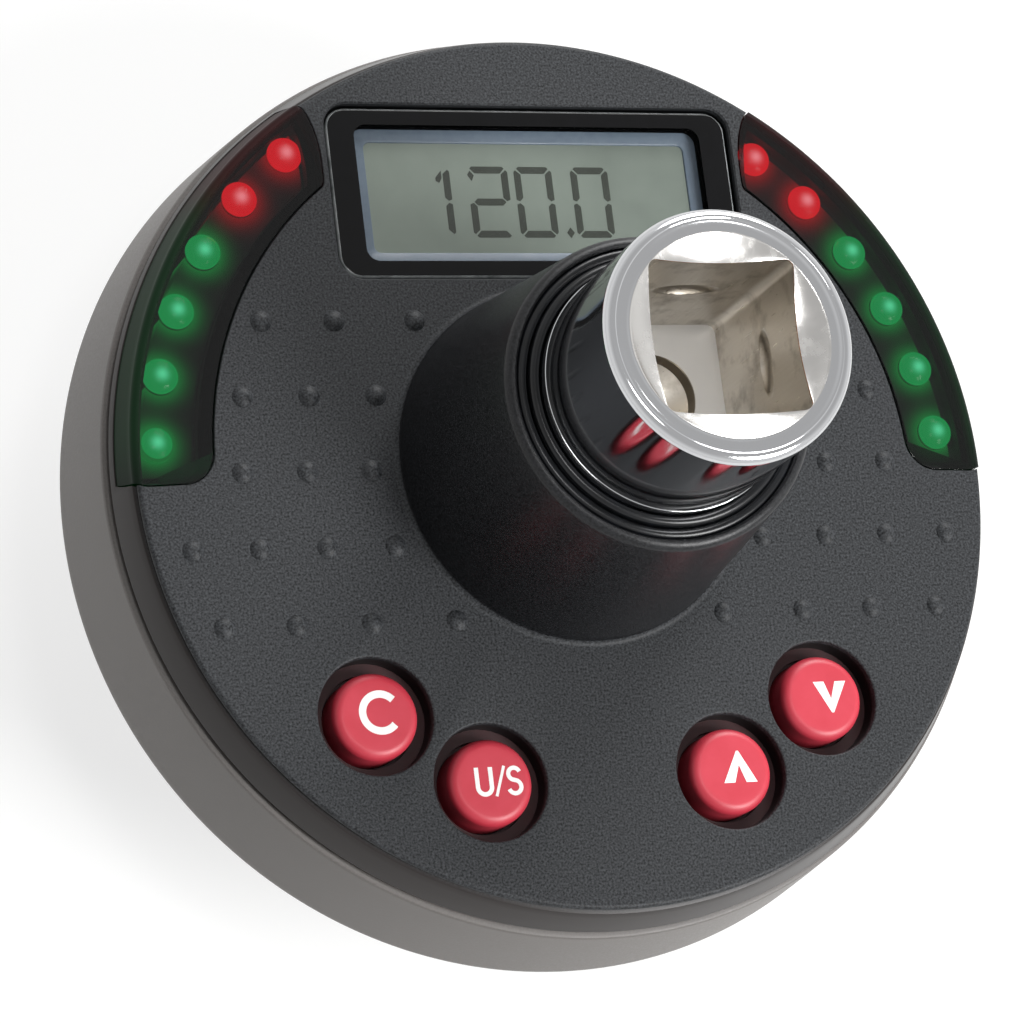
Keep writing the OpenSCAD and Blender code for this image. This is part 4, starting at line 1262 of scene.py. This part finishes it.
@dataclass
class Display:
    """Lens with a printed border, frame, liquid crystal and its reading."""

    width: float = 38.7
    length: float = 16.0
    middle_y: float = 25.55
    corner: float = 2.0
    thick: float = 1.2
    sink: float = 0.5
    gap: float = 0.25
    sight: Point = (34.4, 13.4)
    clear: Point = (33.5, 12.85)
    clear_corner: float = 1.2
    field_size: Point = (31.0, 10.4)
    glass: Point = (33.6, 12.8)
    glass_top: float = 33.1
    glass_low: float = 29.9
    digit_low: float = 21.82
    digit_high: float = 28.6
    stroke: float = 0.66
    reading: Sequence[tuple[float, float, str]] = (
        (-11.3, -7.58, "1"), (-5.9, -1.98, "2"), (-1.38, 2.3, "0"), (4.12, 7.8, "0"))
    point: Point = (3.48, 22.3)
    point_half: Point = (0.38, 0.52)

    def rect(self, size: Point, corner: float, grow: float = 0.0) -> Outline:
        """Outline of a rectangle of the display, grown by a distance."""
        return round_rect(size[0] + 2 * grow, size[1] + 2 * grow, corner + grow, (0, self.middle_y))

    def seats(self) -> list[Shape]:
        """Solids that cut the lens seat and the opening behind it out of the front cover.

        Returns:
            Points and faces of each.
        """
        size, lead = (self.width + 2 * self.gap, self.length + 2 * self.gap), 0.14
        levels = [(FACE_Z - self.sink - self.thick, 0.0), (FACE_Z - lead, 0.0), (FACE_Z, lead),
                  (FACE_Z + 1, 1 + lead)]
        seat = prism([(z, self.rect(size, self.corner + self.gap, g)) for z, g in levels])
        return [seat, prism([(z, self.rect(self.sight, 1.0)) for z in (FACE_Z - 4, FACE_Z - 1)])]

    def lens(self) -> None:
        """Makes the lens: black under its border, clear in the middle, with a bevelled edge painted pale as a
        highlight.
        """
        top, low, bevel = FACE_Z - self.sink, FACE_Z - self.sink - self.thick, 0.28
        size, inner = ((self.width, self.length), self.corner), (self.clear, self.clear_corner)
        rounding = [(*size, -bevel * (1 - math.cos(a)), top - bevel * (1 - math.sin(a)))
                    for a in np.linspace(0, math.pi / 2, 6)[1:]]
        levels = [(*inner, 0.0, low), (*size, 0.0, low), (*size, 0.0, top - bevel), *rounding,
                  (*inner, 0.1, top), (*inner, 0.0, top)]
        rings = [[(x, y, z) for x, y in self.rect(outline, corner, grow)]
                 for outline, corner, grow, z in levels]
        made = new_object("display_lens_bordered", *stack(rings))
        around, middle = len(rings[0]), len(made.data.polygons) - 2
        # The bevel takes a pale painted highlight.
        paint(made, (BORDER, CLEAR, EDGE_HIGHLIGHT), lambda face: (
            1 if face.index >= middle else 2 if 2 * around <= face.index < 6 * around else 0))
        dress(shaded(outward(made), 40), None, nodes=["display_lens"])

    def frame_ring(self) -> None:
        """Makes the blue-grey frame, its inner edge sloping down to the glass."""
        outer, wide = ((self.glass[0] + g, self.glass[1] + g) for g in (2.2, 0.2))
        over, slope = ((self.field_size[0] + g, self.field_size[1] + g) for g in (0.3, 0.1))
        sight = (self.sight[0] - 0.2, self.sight[1] - 0.2)
        top, step = FACE_Z - self.sink - self.thick - 0.02, 32.5
        levels = [(outer, 0.4, BOARD_TOP_Z), (outer, 0.4, step), (sight, 0.9, step + 0.1), (sight, 0.9, top),
                  (over, 0.75, top), (slope, 0.65, top - 0.06), (self.field_size, 0.6, self.glass_top),
                  (wide, 0.3, self.glass_top), (wide, 0.3, BOARD_TOP_Z)]
        rings = [[(x, y, z) for x, y in self.rect(size, corner)] for size, corner, z in levels]
        made = solid("lcd_frame_moulded", stack(rings, True))
        dress(shaded(made, 34), FRAME, nodes=["lcd_frame"])

    def panel(self) -> None:
        """Makes the glass sandwich: two sheets with a filled edge between them."""
        low, edge = self.glass_low, 0.08
        levels = [(low, -edge), (low + edge, 0.0), (low + 1.05, 0.0), (low + 1.1, -edge), (low + 1.2, -edge),
                  (low + 1.25, 0.0), (self.glass_top - edge, 0.0), (self.glass_top, -edge)]
        made = solid("lcd_panel_glass", prism([(z, self.rect(self.glass, 0.3, g)) for z, g in levels]))
        dress(shaded(made, 30), CRYSTAL, nodes=["lcd_panel"])

    def segments(self, x0: float, x1: float, digit: str) -> list[Outline]:
        """Outlines of the dark segments of one digit.

        Args:
            x0: Left side of the digit.
            x1: Right side.
            digit: The digit.

        Returns:
            One outline for each segment.
        """
        y0, y1, t = self.digit_low, self.digit_high, self.stroke
        mid, half, gap, chop, nick = (y0 + y1) / 2, t / 2, 0.09, 0.42, 0.18
        left, right = x0 + t, x1 - t
        top = [(x0 + chop + gap, y1), (x1 - chop - gap, y1), (x1 - chop + 0.12, y1 - nick),
               (right - gap, y1 - t), (left + gap, y1 - t), (x0 + chop - 0.12, y1 - nick)]
        post = [(x0, y1 - chop - gap), (x0 + nick, y1 - chop + 0.1), (left, y1 - t - gap),
                (left, mid + half + gap), (x0 + half, mid + gap), (x0, mid + half - 0.1)]
        bar = [(x0 + half + gap, mid), (left + gap, mid + half), (right - gap, mid + half),
               (x1 - half - gap, mid), (right - gap, mid - half), (left + gap, mid - half)]

        def flip(shape: Outline, across: bool, down: bool) -> Outline:
            """Mirrors a segment in the digit's middle lines."""
            return [(x0 + x1 - x if across else x, y0 + y1 - y if down else y) for x, y in shape]

        every = {"a": top, "b": flip(post, True, False), "c": flip(post, True, True),
                 "d": flip(top, False, True), "e": flip(post, False, True), "f": post, "g": bar}
        shapes = [every[s] for s in {"0": "abcdef", "1": "bc", "2": "abged"}[digit]]
        if digit == "1":
            shapes.append([(right - 0.72, y1 - 1.4), (right - 0.72, y1 - 1.1), (right - 0.12, y1 - 0.4),
                           (right - 0.12, y1 - 1.15), (right - 0.4, y1 - 1.6)])
        if digit == "2":
            shapes.append([(x0 + 0.02, y1 - 0.8), (x0 + 0.3, y1 - 0.4), (left, y1 - 0.85),
                           (x0 + 0.4, y1 - 1.4)])
        return shapes

    def digits(self) -> None:
        """Makes the reading as thin dark shapes on the glass."""
        shapes = [s for x0, x1, digit in self.reading for s in self.segments(x0, x1, digit)]
        (px, py), (wide, tall) = self.point, self.point_half
        shapes.append([(px + wide, py), (px, py + tall), (px - wide, py), (px, py - tall)])
        shells = [prism([(self.glass_top - 0.02, s), (self.glass_top + 0.015, s)]) for s in shapes]
        piece = joined(solid("lcd_reading", shells[0]), shells[1:])
        dress(shaded(piece, 30), SEGMENT)

    def build(self) -> None:
        """Makes all pieces of the display."""
        for step in (self.lens, self.frame_ring, self.panel, self.digits):
            step()


# The keys


@dataclass
class Key:
    """Red silicone key with a white legend."""

    mark: KeyMark
    side: Side
    turn: float
    shift: Point
    pitch_r: float = 30.5
    radius: float = 3.85
    rise: float = 0.2
    edge: float = 0.9
    well_r: float = 5.175
    ledge_z: Point = (30.7, 31.5)
    ledge: float = 1.0
    ink_z: Point = (-0.15, 0.012)

    @property
    def middle(self) -> Point:
        """Middle of the key."""
        return polar(self.pitch_r, 270 + self.side.value * self.turn)

    def well(self) -> Shape:
        """Solid that cuts the key's well, with its rounded edge, out of the front cover.

        Returns:
            Points and faces.
        """
        lead = 0.22
        rounding = [(self.well_r + lead * (1 - math.cos(a)), FACE_Z - lead * (1 - math.sin(a)))
                    for a in np.linspace(0, math.pi / 2, 6)]
        profile = [(self.well_r, FACE_Z - 4), *rounding, (self.well_r + lead, FACE_Z + 1)]
        return turned(profile, False, self.middle, 96)

    def strokes(self) -> list[Outline]:
        """Outlines of the legend round its own middle.

        Returns:
            One outline for each stroke.
        """
        def ribbon(path: Sequence[Point], width: float) -> Outline:
            """Outline of a path drawn with a flat pen.

            Args:
                path: Points of the path.
                width: Width of the pen.

            Returns:
                The outline, along one side and back on the other.
            """
            sides: tuple[Outline, Outline] = ([], [])
            for i, (x, y) in enumerate(path):
                before, after = path[max(i - 1, 0)], path[min(i + 1, len(path) - 1)]
                dx, dy = after[0] - before[0], after[1] - before[1]
                off = width / 2 / math.hypot(dx, dy)
                sides[0].append((x - dy * off, y + dx * off))
                sides[1].append((x + dy * off, y - dx * off))
            return sides[0] + sides[1][::-1]

        if self.mark is KeyMark.CLEAR:
            return [ribbon(arc((0.15, 0), 1.62, 42, 318, 40), 0.66)]
        if self.mark is KeyMark.UNIT_SET:
            u = [(-1.95, 1.28), (-1.95, -0.45), *arc((-1.31, -0.45), 0.64, 180, 360, 18),
                 (-0.67, -0.45), (-0.67, 1.28)]
            s = [*arc((1.48, 0.6), 0.53, 20, 265, 18), *arc((1.44, -0.53), 0.58, 85, -160, 18)]
            return [ribbon(u, 0.4), ribbon([(-0.32, -1.3), (0.62, 1.34)], 0.26), ribbon(s, 0.38)]
        sign = 1 if self.mark is KeyMark.UP else -1
        half, tall, foot = 1.6, 1.42, 1.06
        shape = [(-half, -tall), (-half + foot, -tall), (0, 0.15), (half - foot, -tall), (half, -tall),
                 (0.1, tall), (-0.1, tall)]
        return [[(x, sign * y) for x, y in shape]]

    def build(self) -> None:
        """Makes the key and its legend."""
        top, flat, wide = FACE_Z + self.rise, self.radius - self.edge, self.radius + self.ledge
        low, high = self.ledge_z
        profile = [(AXIS_R, low), (wide, low), (wide, high), (self.radius + 0.02, high),
                   (self.radius, high + 0.2), (self.radius, top - self.edge - 0.4),
                   *arc((flat, top - self.edge), self.edge, 0, 86, 14),
                   *((flat * (1 - s), top) for s in (0.12, 0.3, 0.5, 0.7, 0.85, 0.993))]
        mark = self.mark.value
        made = solid(f"button_{mark}_moulded", turned(profile, False, self.middle, 128))
        # The ledge below the key takes the painted shade of the well's bottom.
        paint(made, (KEY_RED, SHADED_RED), lambda face: int(face.center.z / MM < high + 0.15))
        dress(shaded(made, 40), None, f"key_{mark}", [f"button_{mark}"])
        x0, y0 = self.middle[0] + self.shift[0], self.middle[1] + self.shift[1]
        shells = [prism([(top + z, [(x0 + x, y0 + y) for x, y in shape]) for z in self.ink_z])
                  for shape in self.strokes()]
        legend = joined(solid(f"legend_{mark}", shells[0]), shells[1:])
        dress(shaded(legend, 40), INK, f"key_{mark}")


# The shells


@dataclass
class Shells:
    """Front cover with its collar and dots, rear cover, battery cap and screws."""

    display: Display
    arcs: Sequence[LampArc]
    keys: Sequence[Key]
    face_r: float = 40.0
    band_r: float = 41.25
    seam_top: float = 30.8
    seam_low: float = 30.4
    tongue_r: Point = (38.25, 39.55)
    tongue_low: float = 28.4
    plate_z: float = FACE_Z - 2.4
    collar_base: float = 16.2
    collar_top: float = 13.9
    collar_fall: float = 19.9
    seal_r: float = 12.9
    seal_low: float = 54.6
    bore_r: Point = (12.4, 12.0)
    bore_step: Point = (47.6, 48.0)
    neck_r: float = 14.2
    neck_low: float = 22.7
    rim: float = 0.8
    fillet: float = 0.6
    edge: float = 0.4
    dot_ring: float = 18.85
    dot_ring_step: float = 5.85
    dot_row: float = -0.3
    dot_row_step: float = 6.85
    screw_angles: Sequence[float] = (27, 153, 205, 335, 270)
    screw_r: float = 29.5
    boss_z: float = 24.0
    pillar_angles: Sequence[float] = (45, 135, 225, 315)
    pillar_r: float = 20.0
    wall_r: float = 39.7
    floor_z: float = 20.2
    foot_r: float = 1.8
    shaft_hole_r: float = 12.0
    bay_y: float = 27.0
    bay_r: float = 10.4
    cap_r: float = 12.0
    cap_top: float = 22.15
    lug_z: Point = (20.25, 21.45)
    lug_r: Point = (9.1, 11.4)
    lug_half: float = 18.0

    def screw_places(self) -> Outline:
        """Places of the five housing screws."""
        return [polar(self.screw_r, a) for a in self.screw_angles]

    def front(self) -> None:
        """Makes the front cover: turned, cut for display, lamps and keys, and given its bosses."""
        f, face, band, seam = FACE_Z, self.face_r, self.band_r, self.seam_top
        lean, plate = self.collar_base - self.collar_top, self.plate_z
        profile = [
            (self.seal_r, COLLAR_Z - 0.25), (self.seal_r + 0.25, COLLAR_Z),
            *arc((self.collar_top - self.rim, COLLAR_Z - self.rim), self.rim, 90, 6.5, 12),
            *((self.collar_top + lean * s, COLLAR_Z - self.rim + 0.09 - self.collar_fall * s)
              for s in (0.1, 0.4, 0.7, 0.99)),
            *arc((self.collar_base + self.fillet, f + self.fillet), self.fillet, 186, 270, 10),
            (self.collar_base + self.fillet + 0.05, f), (face - self.edge - 0.05, f),
            *arc((face - self.edge, f - self.edge), self.edge, 90, 0, 10),
            (face - 0.04, f - 0.48), (face - 0.3, f - 0.55), (face - 0.3, f - 0.62), (face + 0.12, f - 0.76),
            (face + 0.25, f - 0.82), (face + 0.31, f - 0.92), (face + 0.5, f - 1.6),
            (band - 0.02, seam + 0.45), (band, seam + 0.3), (band - 0.06, seam + 0.12), (band - 0.25, seam),
            (self.tongue_r[1], seam), (self.tongue_r[1], self.tongue_low), (self.tongue_r[0], self.tongue_low),
            (self.tongue_r[0], plate), (self.neck_r, plate), (self.neck_r, self.neck_low),
            (self.bore_r[0], self.neck_low), (self.bore_r[0], self.bore_step[0]),
            (self.bore_r[1], self.bore_step[1]), (self.bore_r[1], self.seal_low), (self.seal_r, self.seal_low)]
        made = solid("front_cover_moulded", turned(profile, True))
        cut(made, [*self.display.seats(), *(s for part in self.arcs for s in part.seats()),
                   *(key.well() for key in self.keys)])
        deep = plate + 0.3
        boss = [(1.2, self.boss_z), (2.5, self.boss_z), (2.5, deep), (1.2, deep)]
        pillar = [(0.85, BOARD_TOP_Z), (1.8, BOARD_TOP_Z), (1.8, deep), (0.85, deep)]
        joined(made, [*(turned(boss, True, p, 32) for p in self.screw_places()),
                      *(turned(pillar, True, polar(self.pillar_r, a), 32) for a in self.pillar_angles)])
        # Above the collar's foot fillet the cover takes the collar's painted shade.
        paint(made, (FRONT_ABS, SHADED_COLLAR_ABS), lambda face: int(face.center.z / MM > FACE_Z + self.fillet / 2))
        dress(shaded(made, 30), None, nodes=["front_cover", "collar"])

    def raised_dots(self) -> None:
        """Makes the rows of raised dots where rings round the axis cross level lines."""
        places = []
        for side in Side:
            for row in range(-2, 3):
                for lane in range(4 if row < 0 else 3):
                    y, r = self.dot_row + row * self.dot_row_step, self.dot_ring + lane * self.dot_ring_step
                    places.append((side.value * math.sqrt(r * r - y * y), y, FACE_Z))
        profile = [(AXIS_R, -0.3), (0.99, -0.3), (0.99, -0.02), (0.93, 0.05), (0.8, 0.15), (0.64, 0.25),
                   (0.45, 0.335), (0.24, 0.385), (AXIS_R, 0.4)]
        shape = solid("dot_shape", turned(profile, False, steps=32))
        dress(Repeat.make("face_dots_raised", shape, places, FRONT_ABS), None)

    def rear(self) -> None:
        """Makes the rear cover: flared wall, rounded foot, floor with its holes, bosses and battery bay."""
        floor, seam, low, bay = self.floor_z, self.seam_low, UNDER_Z, self.bay_y
        profile = [
            (self.wall_r, seam), (41.4, seam), (41.6, seam - 0.08), (41.7, seam - 0.25), (41.72, seam - 0.4),
            (42.2, 25.0), (42.62, floor), *arc((40.85, low + self.foot_r), self.foot_r, 0, -90, 14),
            (40.8, low), (37.6, low), (37.5, low + 0.1), (37.1, low + 0.1), (37.0, low),
            (self.shaft_hole_r + 0.2, low), (self.shaft_hole_r, low + 0.2), (self.shaft_hole_r, floor),
            (self.wall_r, floor)]
        made = solid("rear_cover_moulded", turned(profile, True))

        def bored(middle: Point, r: float, depth: float, lead: float = 0.15) -> Shape:
            """Hole from below with a broken edge."""
            levels = [(r + lead, low - 1), (r + lead, low), (r, low + lead), (r, low + depth)]
            return turned(levels, False, middle, 96)

        screws = self.screw_places()
        cut(made, [bored((0, bay), 12.3, 1.2), bored((0, bay), self.bay_r, 5, 0.0), bored((0, 0), 12.9, 1.6),
                   *(bored(p, 2.4, 1.8) for p in screws), *(bored(p, 1.35, 5, 0.0) for p in screws),
                   *(bored(polar(12.9, a, (0, bay - 0.9)), 0.35, 0.25, 0.05) for a in (-90, -135))])
        root = floor - 0.2
        boss = [(1.35, root), (2.8, root), (2.8, self.boss_z), (1.35, self.boss_z)]
        wall = [(self.bay_r, 21.8), (self.bay_r, 25.9), (12.8, 25.9), (12.8, root), (11.7, root), (11.7, 21.8)]
        joined(made, [*(turned(boss, True, p, 32) for p in screws), turned(wall, True, (0, bay), 96)])
        # The rear shell takes a pale grey that is painted light.
        dress(shaded(made, 30), LIGHTENED_REAR_ABS, nodes=["rear_cover"])

    def gasket(self) -> None:
        """Makes the gasket in the seam between the covers."""
        loop = [(self.wall_r, self.seam_low), (40.75, self.seam_low), (40.85, self.seam_low + 0.2),
                (40.75, self.seam_top), (self.wall_r, self.seam_top)]
        cord = solid("housing_gasket_cord", turned(loop, True))
        dress(shaded(cord, 60), SEAL, nodes=["housing_gasket"])

    def cap(self) -> None:
        """Makes the bayonet battery cap with its coin slot, pointer dimple, lugs and seal."""
        low, rise, r, middle, lead = UNDER_Z, self.lug_z[1], self.cap_r, (0, self.bay_y), 0.2
        profile = [(AXIS_R, low), (9.2, low), (9.3, low + 0.12), (9.7, low + 0.12), (9.8, low), (r - 0.2, low),
                   (r, low + 0.2), (r, low + 0.8), (10.1, low + 0.8), (10.1, rise), (8.6, rise),
                   (8.6, self.cap_top), (AXIS_R, self.cap_top)]
        made = solid("battery_cap_moulded", turned(profile, False, middle, 192))
        slot = [(z, round_rect(15 + 2 * g, 2.2 + 2 * g, 1.09 + g, middle))
                for z, g in ((low - 1, lead), (low, lead), (low + lead, 0.0), (low + 1.3, 0.0))]
        dimple = [(0.7, low - 1), (0.5, low), (0.3, low + 0.25)]
        cut(made, [prism(slot), turned(dimple, False, (0, self.bay_y - 10.8), 48)])
        lugs = []
        for first, last in ((a - self.lug_half, a + self.lug_half) for a in (30, 150, 270)):
            outline = arc(middle, self.lug_r[1], first, last, 12) + arc(middle, self.lug_r[0], last, first, 12)
            lugs.append(prism([(z, outline) for z in self.lug_z]))
        joined(made, lugs)
        # The cap takes the same pale grey, painted light.
        dress(shaded(made, 30), LIGHTENED_REAR_ABS, "cap", ["battery_cap"])
        dress(merged("battery_cap_seal"), SEAL, "cap", ["battery_cap_seal"])

    def screws(self) -> None:
        """Makes the housing screws, heads down, each turned as the driver left it."""
        profile = [(AXIS_R, 0.0), (1.5, 0.0), (1.9, 0.12), (2.12, 0.4), (2.2, 0.8), (2.2, 1.25), (2.15, 1.3),
                   (1.15, 1.3), (1.15, 11.4), (0.7, 12.2), (AXIS_R, 12.3)]
        shape = solid("screw_shape", turned(profile, False, steps=48))
        wide, deep = round_rect(2.7, 0.85, 0.2, steps=3), round_rect(1.7, 0.5, 0.15, steps=3)
        cut(shape, [prism([(z, [(c * x - s * y, s * x + c * y) for x, y in bar])
                           for z, bar in ((-0.5, wide), (0.75, deep))]) for c, s in ((1, 0), (0, 1))])
        places = [(x, y, UNDER_Z + 0.5) for x, y in self.screw_places()]
        made = Repeat.make("housing_screws_driven", shape, places, ZINC, turn=170, seed=11)
        dress(made, None, nodes=["housing_screws"])

    def build(self) -> None:
        """Makes all pieces of the shells."""
        for step in (self.front, self.raised_dots, self.rear, self.gasket, self.cap, self.screws):
            step()


# What lies inside


@dataclass
class Insides:
    """Pieces inside the shells that keep their solids and take a finish."""

    finishes: dict[str, Finish] = field(default_factory=lambda: {
        # The keypad mat takes the painted shade of the wells.
        "main_board": BOARD, "keypad_mat": SHADED_RED, "contact_pads": GOLD, "angle_sensor": RESIN,
        "controller_chip": RESIN, "buzzer": RESIN, "coin_cell": CELL, "cell_contact_positive": NICKEL,
        "cell_contact_negative": NICKEL, "board_screws": ZINC, "lcd_connectors": CONNECTOR,
        **{f"contact_pill_{mark.value}": CARBON for mark in KeyMark}})

    def build(self) -> None:
        """Gives every inner solid its finish."""
        for node, finish in self.finishes.items():
            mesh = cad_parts[node].data
            mesh.materials.clear()
            mesh.materials.append(Shop.get(finish))
            LOG.info("%s keeps its solid", node)


# The studio


@dataclass
class Studio:
    """Pale floor, soft light and the camera of the photograph."""

    target: tuple[float, float, float] = (-5.90, -4.337, FACE_Z)
    azimuth: float = -55.103
    elevation: float = 63.943
    roll: float = 50.86
    distance: float = 368.33
    focal: float = 4201.5
    image_width: float = 1033.0
    sensor: float = 36.0
    floor_half: float = 3000.0

    def camera(self) -> None:
        """Sets the camera where the photograph was taken from."""
        az, el, roll = (math.radians(v) for v in (self.azimuth, self.elevation, self.roll))
        back = Vector((math.sin(az) * math.cos(el), -math.cos(az) * math.cos(el), math.sin(el)))
        side = Vector((0, 0, 1)).cross(back).normalized()
        rise = back.cross(side)
        right = side * math.cos(roll) + rise * math.sin(roll)
        up = rise * math.cos(roll) - side * math.sin(roll)
        data = bpy.data.cameras.new("photo_camera")
        data.sensor_fit, data.sensor_width = "HORIZONTAL", self.sensor
        data.lens = self.sensor * self.focal / self.image_width
        data.clip_start, data.clip_end = 0.01, 10.0
        made = bpy.data.objects.new("photo_camera", data)
        place = (Vector(self.target) + back * self.distance) * MM
        turn = Matrix((right, up, back)).transposed().to_4x4()
        made.matrix_world = Matrix.Translation(place) @ turn
        bpy.context.scene.collection.objects.link(made)
        bpy.context.scene.camera = made

    def lamp(self, name: str, place: Sequence[float], size: float, power: float) -> None:
        """Adds one soft light that faces the gauge.

        Args:
            name: Name of the light.
            place: Its place in millimetres.
            size: Its diameter in millimetres.
            power: Its power in watts.
        """
        data = bpy.data.lights.new(name, "AREA")
        data.shape, data.size, data.energy = "DISK", size * MM, power
        made = bpy.data.objects.new(name, data)
        where = Vector(place) * MM
        aim = Vector((0, 0, FACE_Z * MM)) - where
        made.matrix_world = Matrix.Translation(where) @ aim.to_track_quat("-Z", "Y").to_matrix().to_4x4()
        bpy.context.scene.collection.objects.link(made)

    def seen(self, tree: Tree) -> Socket:
        """Adds a factor that is one for what the camera, a mirror or glass sees.

        Args:
            tree: Tree that takes the nodes.

        Returns:
            The factor.
        """
        path = add(tree, "ShaderNodeLightPath").outputs
        factor = path["Is Camera Ray"]
        for ray in ("Is Glossy Ray", "Is Transmission Ray"):
            factor = add(tree, "ShaderNodeMath", (factor, path[ray]), operation="MAXIMUM").outputs[0]
        return factor

    def world(self) -> None:
        """Sets a room with white walls and a greyer ceiling, which gives a soft, even light."""
        world = bpy.data.worlds.new("white_room")
        world.use_nodes = True
        tree = world.node_tree
        tree.nodes.clear()
        way = add(tree, "ShaderNodeTexCoord").outputs["Generated"]
        height = add(tree, "ShaderNodeSeparateXYZ", [way]).outputs["Z"]
        shown = add(tree, "ShaderNodeMapRange", (height, 0.35, 0.8, 1.0, 0.62)).outputs[0]
        strength = add(tree, "ShaderNodeMix", {0: self.seen(tree), 2: 0.22, 3: shown}).outputs[0]
        light = add(tree, "ShaderNodeBackground", {"Color": (1, 1, 1, 1), "Strength": strength})
        add(tree, "ShaderNodeOutputWorld", {"Surface": light.outputs[0]})
        bpy.context.scene.world = world

    def floor(self) -> None:
        """Sets a pale floor that is white to the camera and keeps a faint shadow."""
        material = bpy.data.materials.new("pale_floor")
        material.use_nodes = True
        tree = material.node_tree
        tree.nodes.clear()
        matt = add(tree, "ShaderNodeBsdfDiffuse", {"Color": linear("dcdcda")})
        faint = add(tree, "ShaderNodeBsdfDiffuse", {"Color": linear("969695")})
        bright = add(tree, "ShaderNodeEmission", {"Color": (1, 1, 1, 1), "Strength": 0.74})
        both = add(tree, "ShaderNodeAddShader", (faint.outputs[0], bright.outputs[0]))
        mixed = add(tree, "ShaderNodeMixShader", (self.seen(tree), matt.outputs[0], both.outputs[0]))
        add(tree, "ShaderNodeOutputMaterial", {"Surface": mixed.outputs[0]})
        half = self.floor_half
        corners = [(-half, -half, 0), (half, -half, 0), (half, half, 0), (-half, half, 0)]
        made = new_object("floor", corners, [(0, 1, 2, 3)])
        made.data.materials.append(material)

    def build(self) -> None:
        """Makes camera, light and floor."""
        self.camera()
        self.world()
        self.floor()
        self.lamp("soft_key", (270, 590, 400), 420, 4.5)
        self.lamp("soft_side", (330, -330, 500), 320, 4.8)
        self.lamp("soft_top", (-30, -20, 760), 160, 0.8)
        bpy.context.scene.view_settings.view_transform = "Standard"


def main() -> None:
    """Builds the gauge piece by piece."""
    logging.basicConfig(level=logging.INFO, format="%(name)s: %(message)s")
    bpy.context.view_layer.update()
    Studio().build()
    arcs = [LampArc(side) for side in Side]
    display = Display()
    keys = [Key(*values) for values in (
        (KeyMark.CLEAR, Side.LEFT, 43.5, (0.2, 0.25)), (KeyMark.UNIT_SET, Side.LEFT, 21.7, (0.6, 0.0)),
        (KeyMark.UP, Side.RIGHT, 21.7, (0.65, 0.3)), (KeyMark.DOWN, Side.RIGHT, 43.5, (0.75, 0.0)))]
    DriveShaft().build()
    Shells(display, arcs, keys).build()
    for part in arcs:
        part.window()
    Lamps(arcs).build()
    display.build()
    for key in keys:
        key.build()
    Insides().build()


if __name__ == "__main__":
    main()
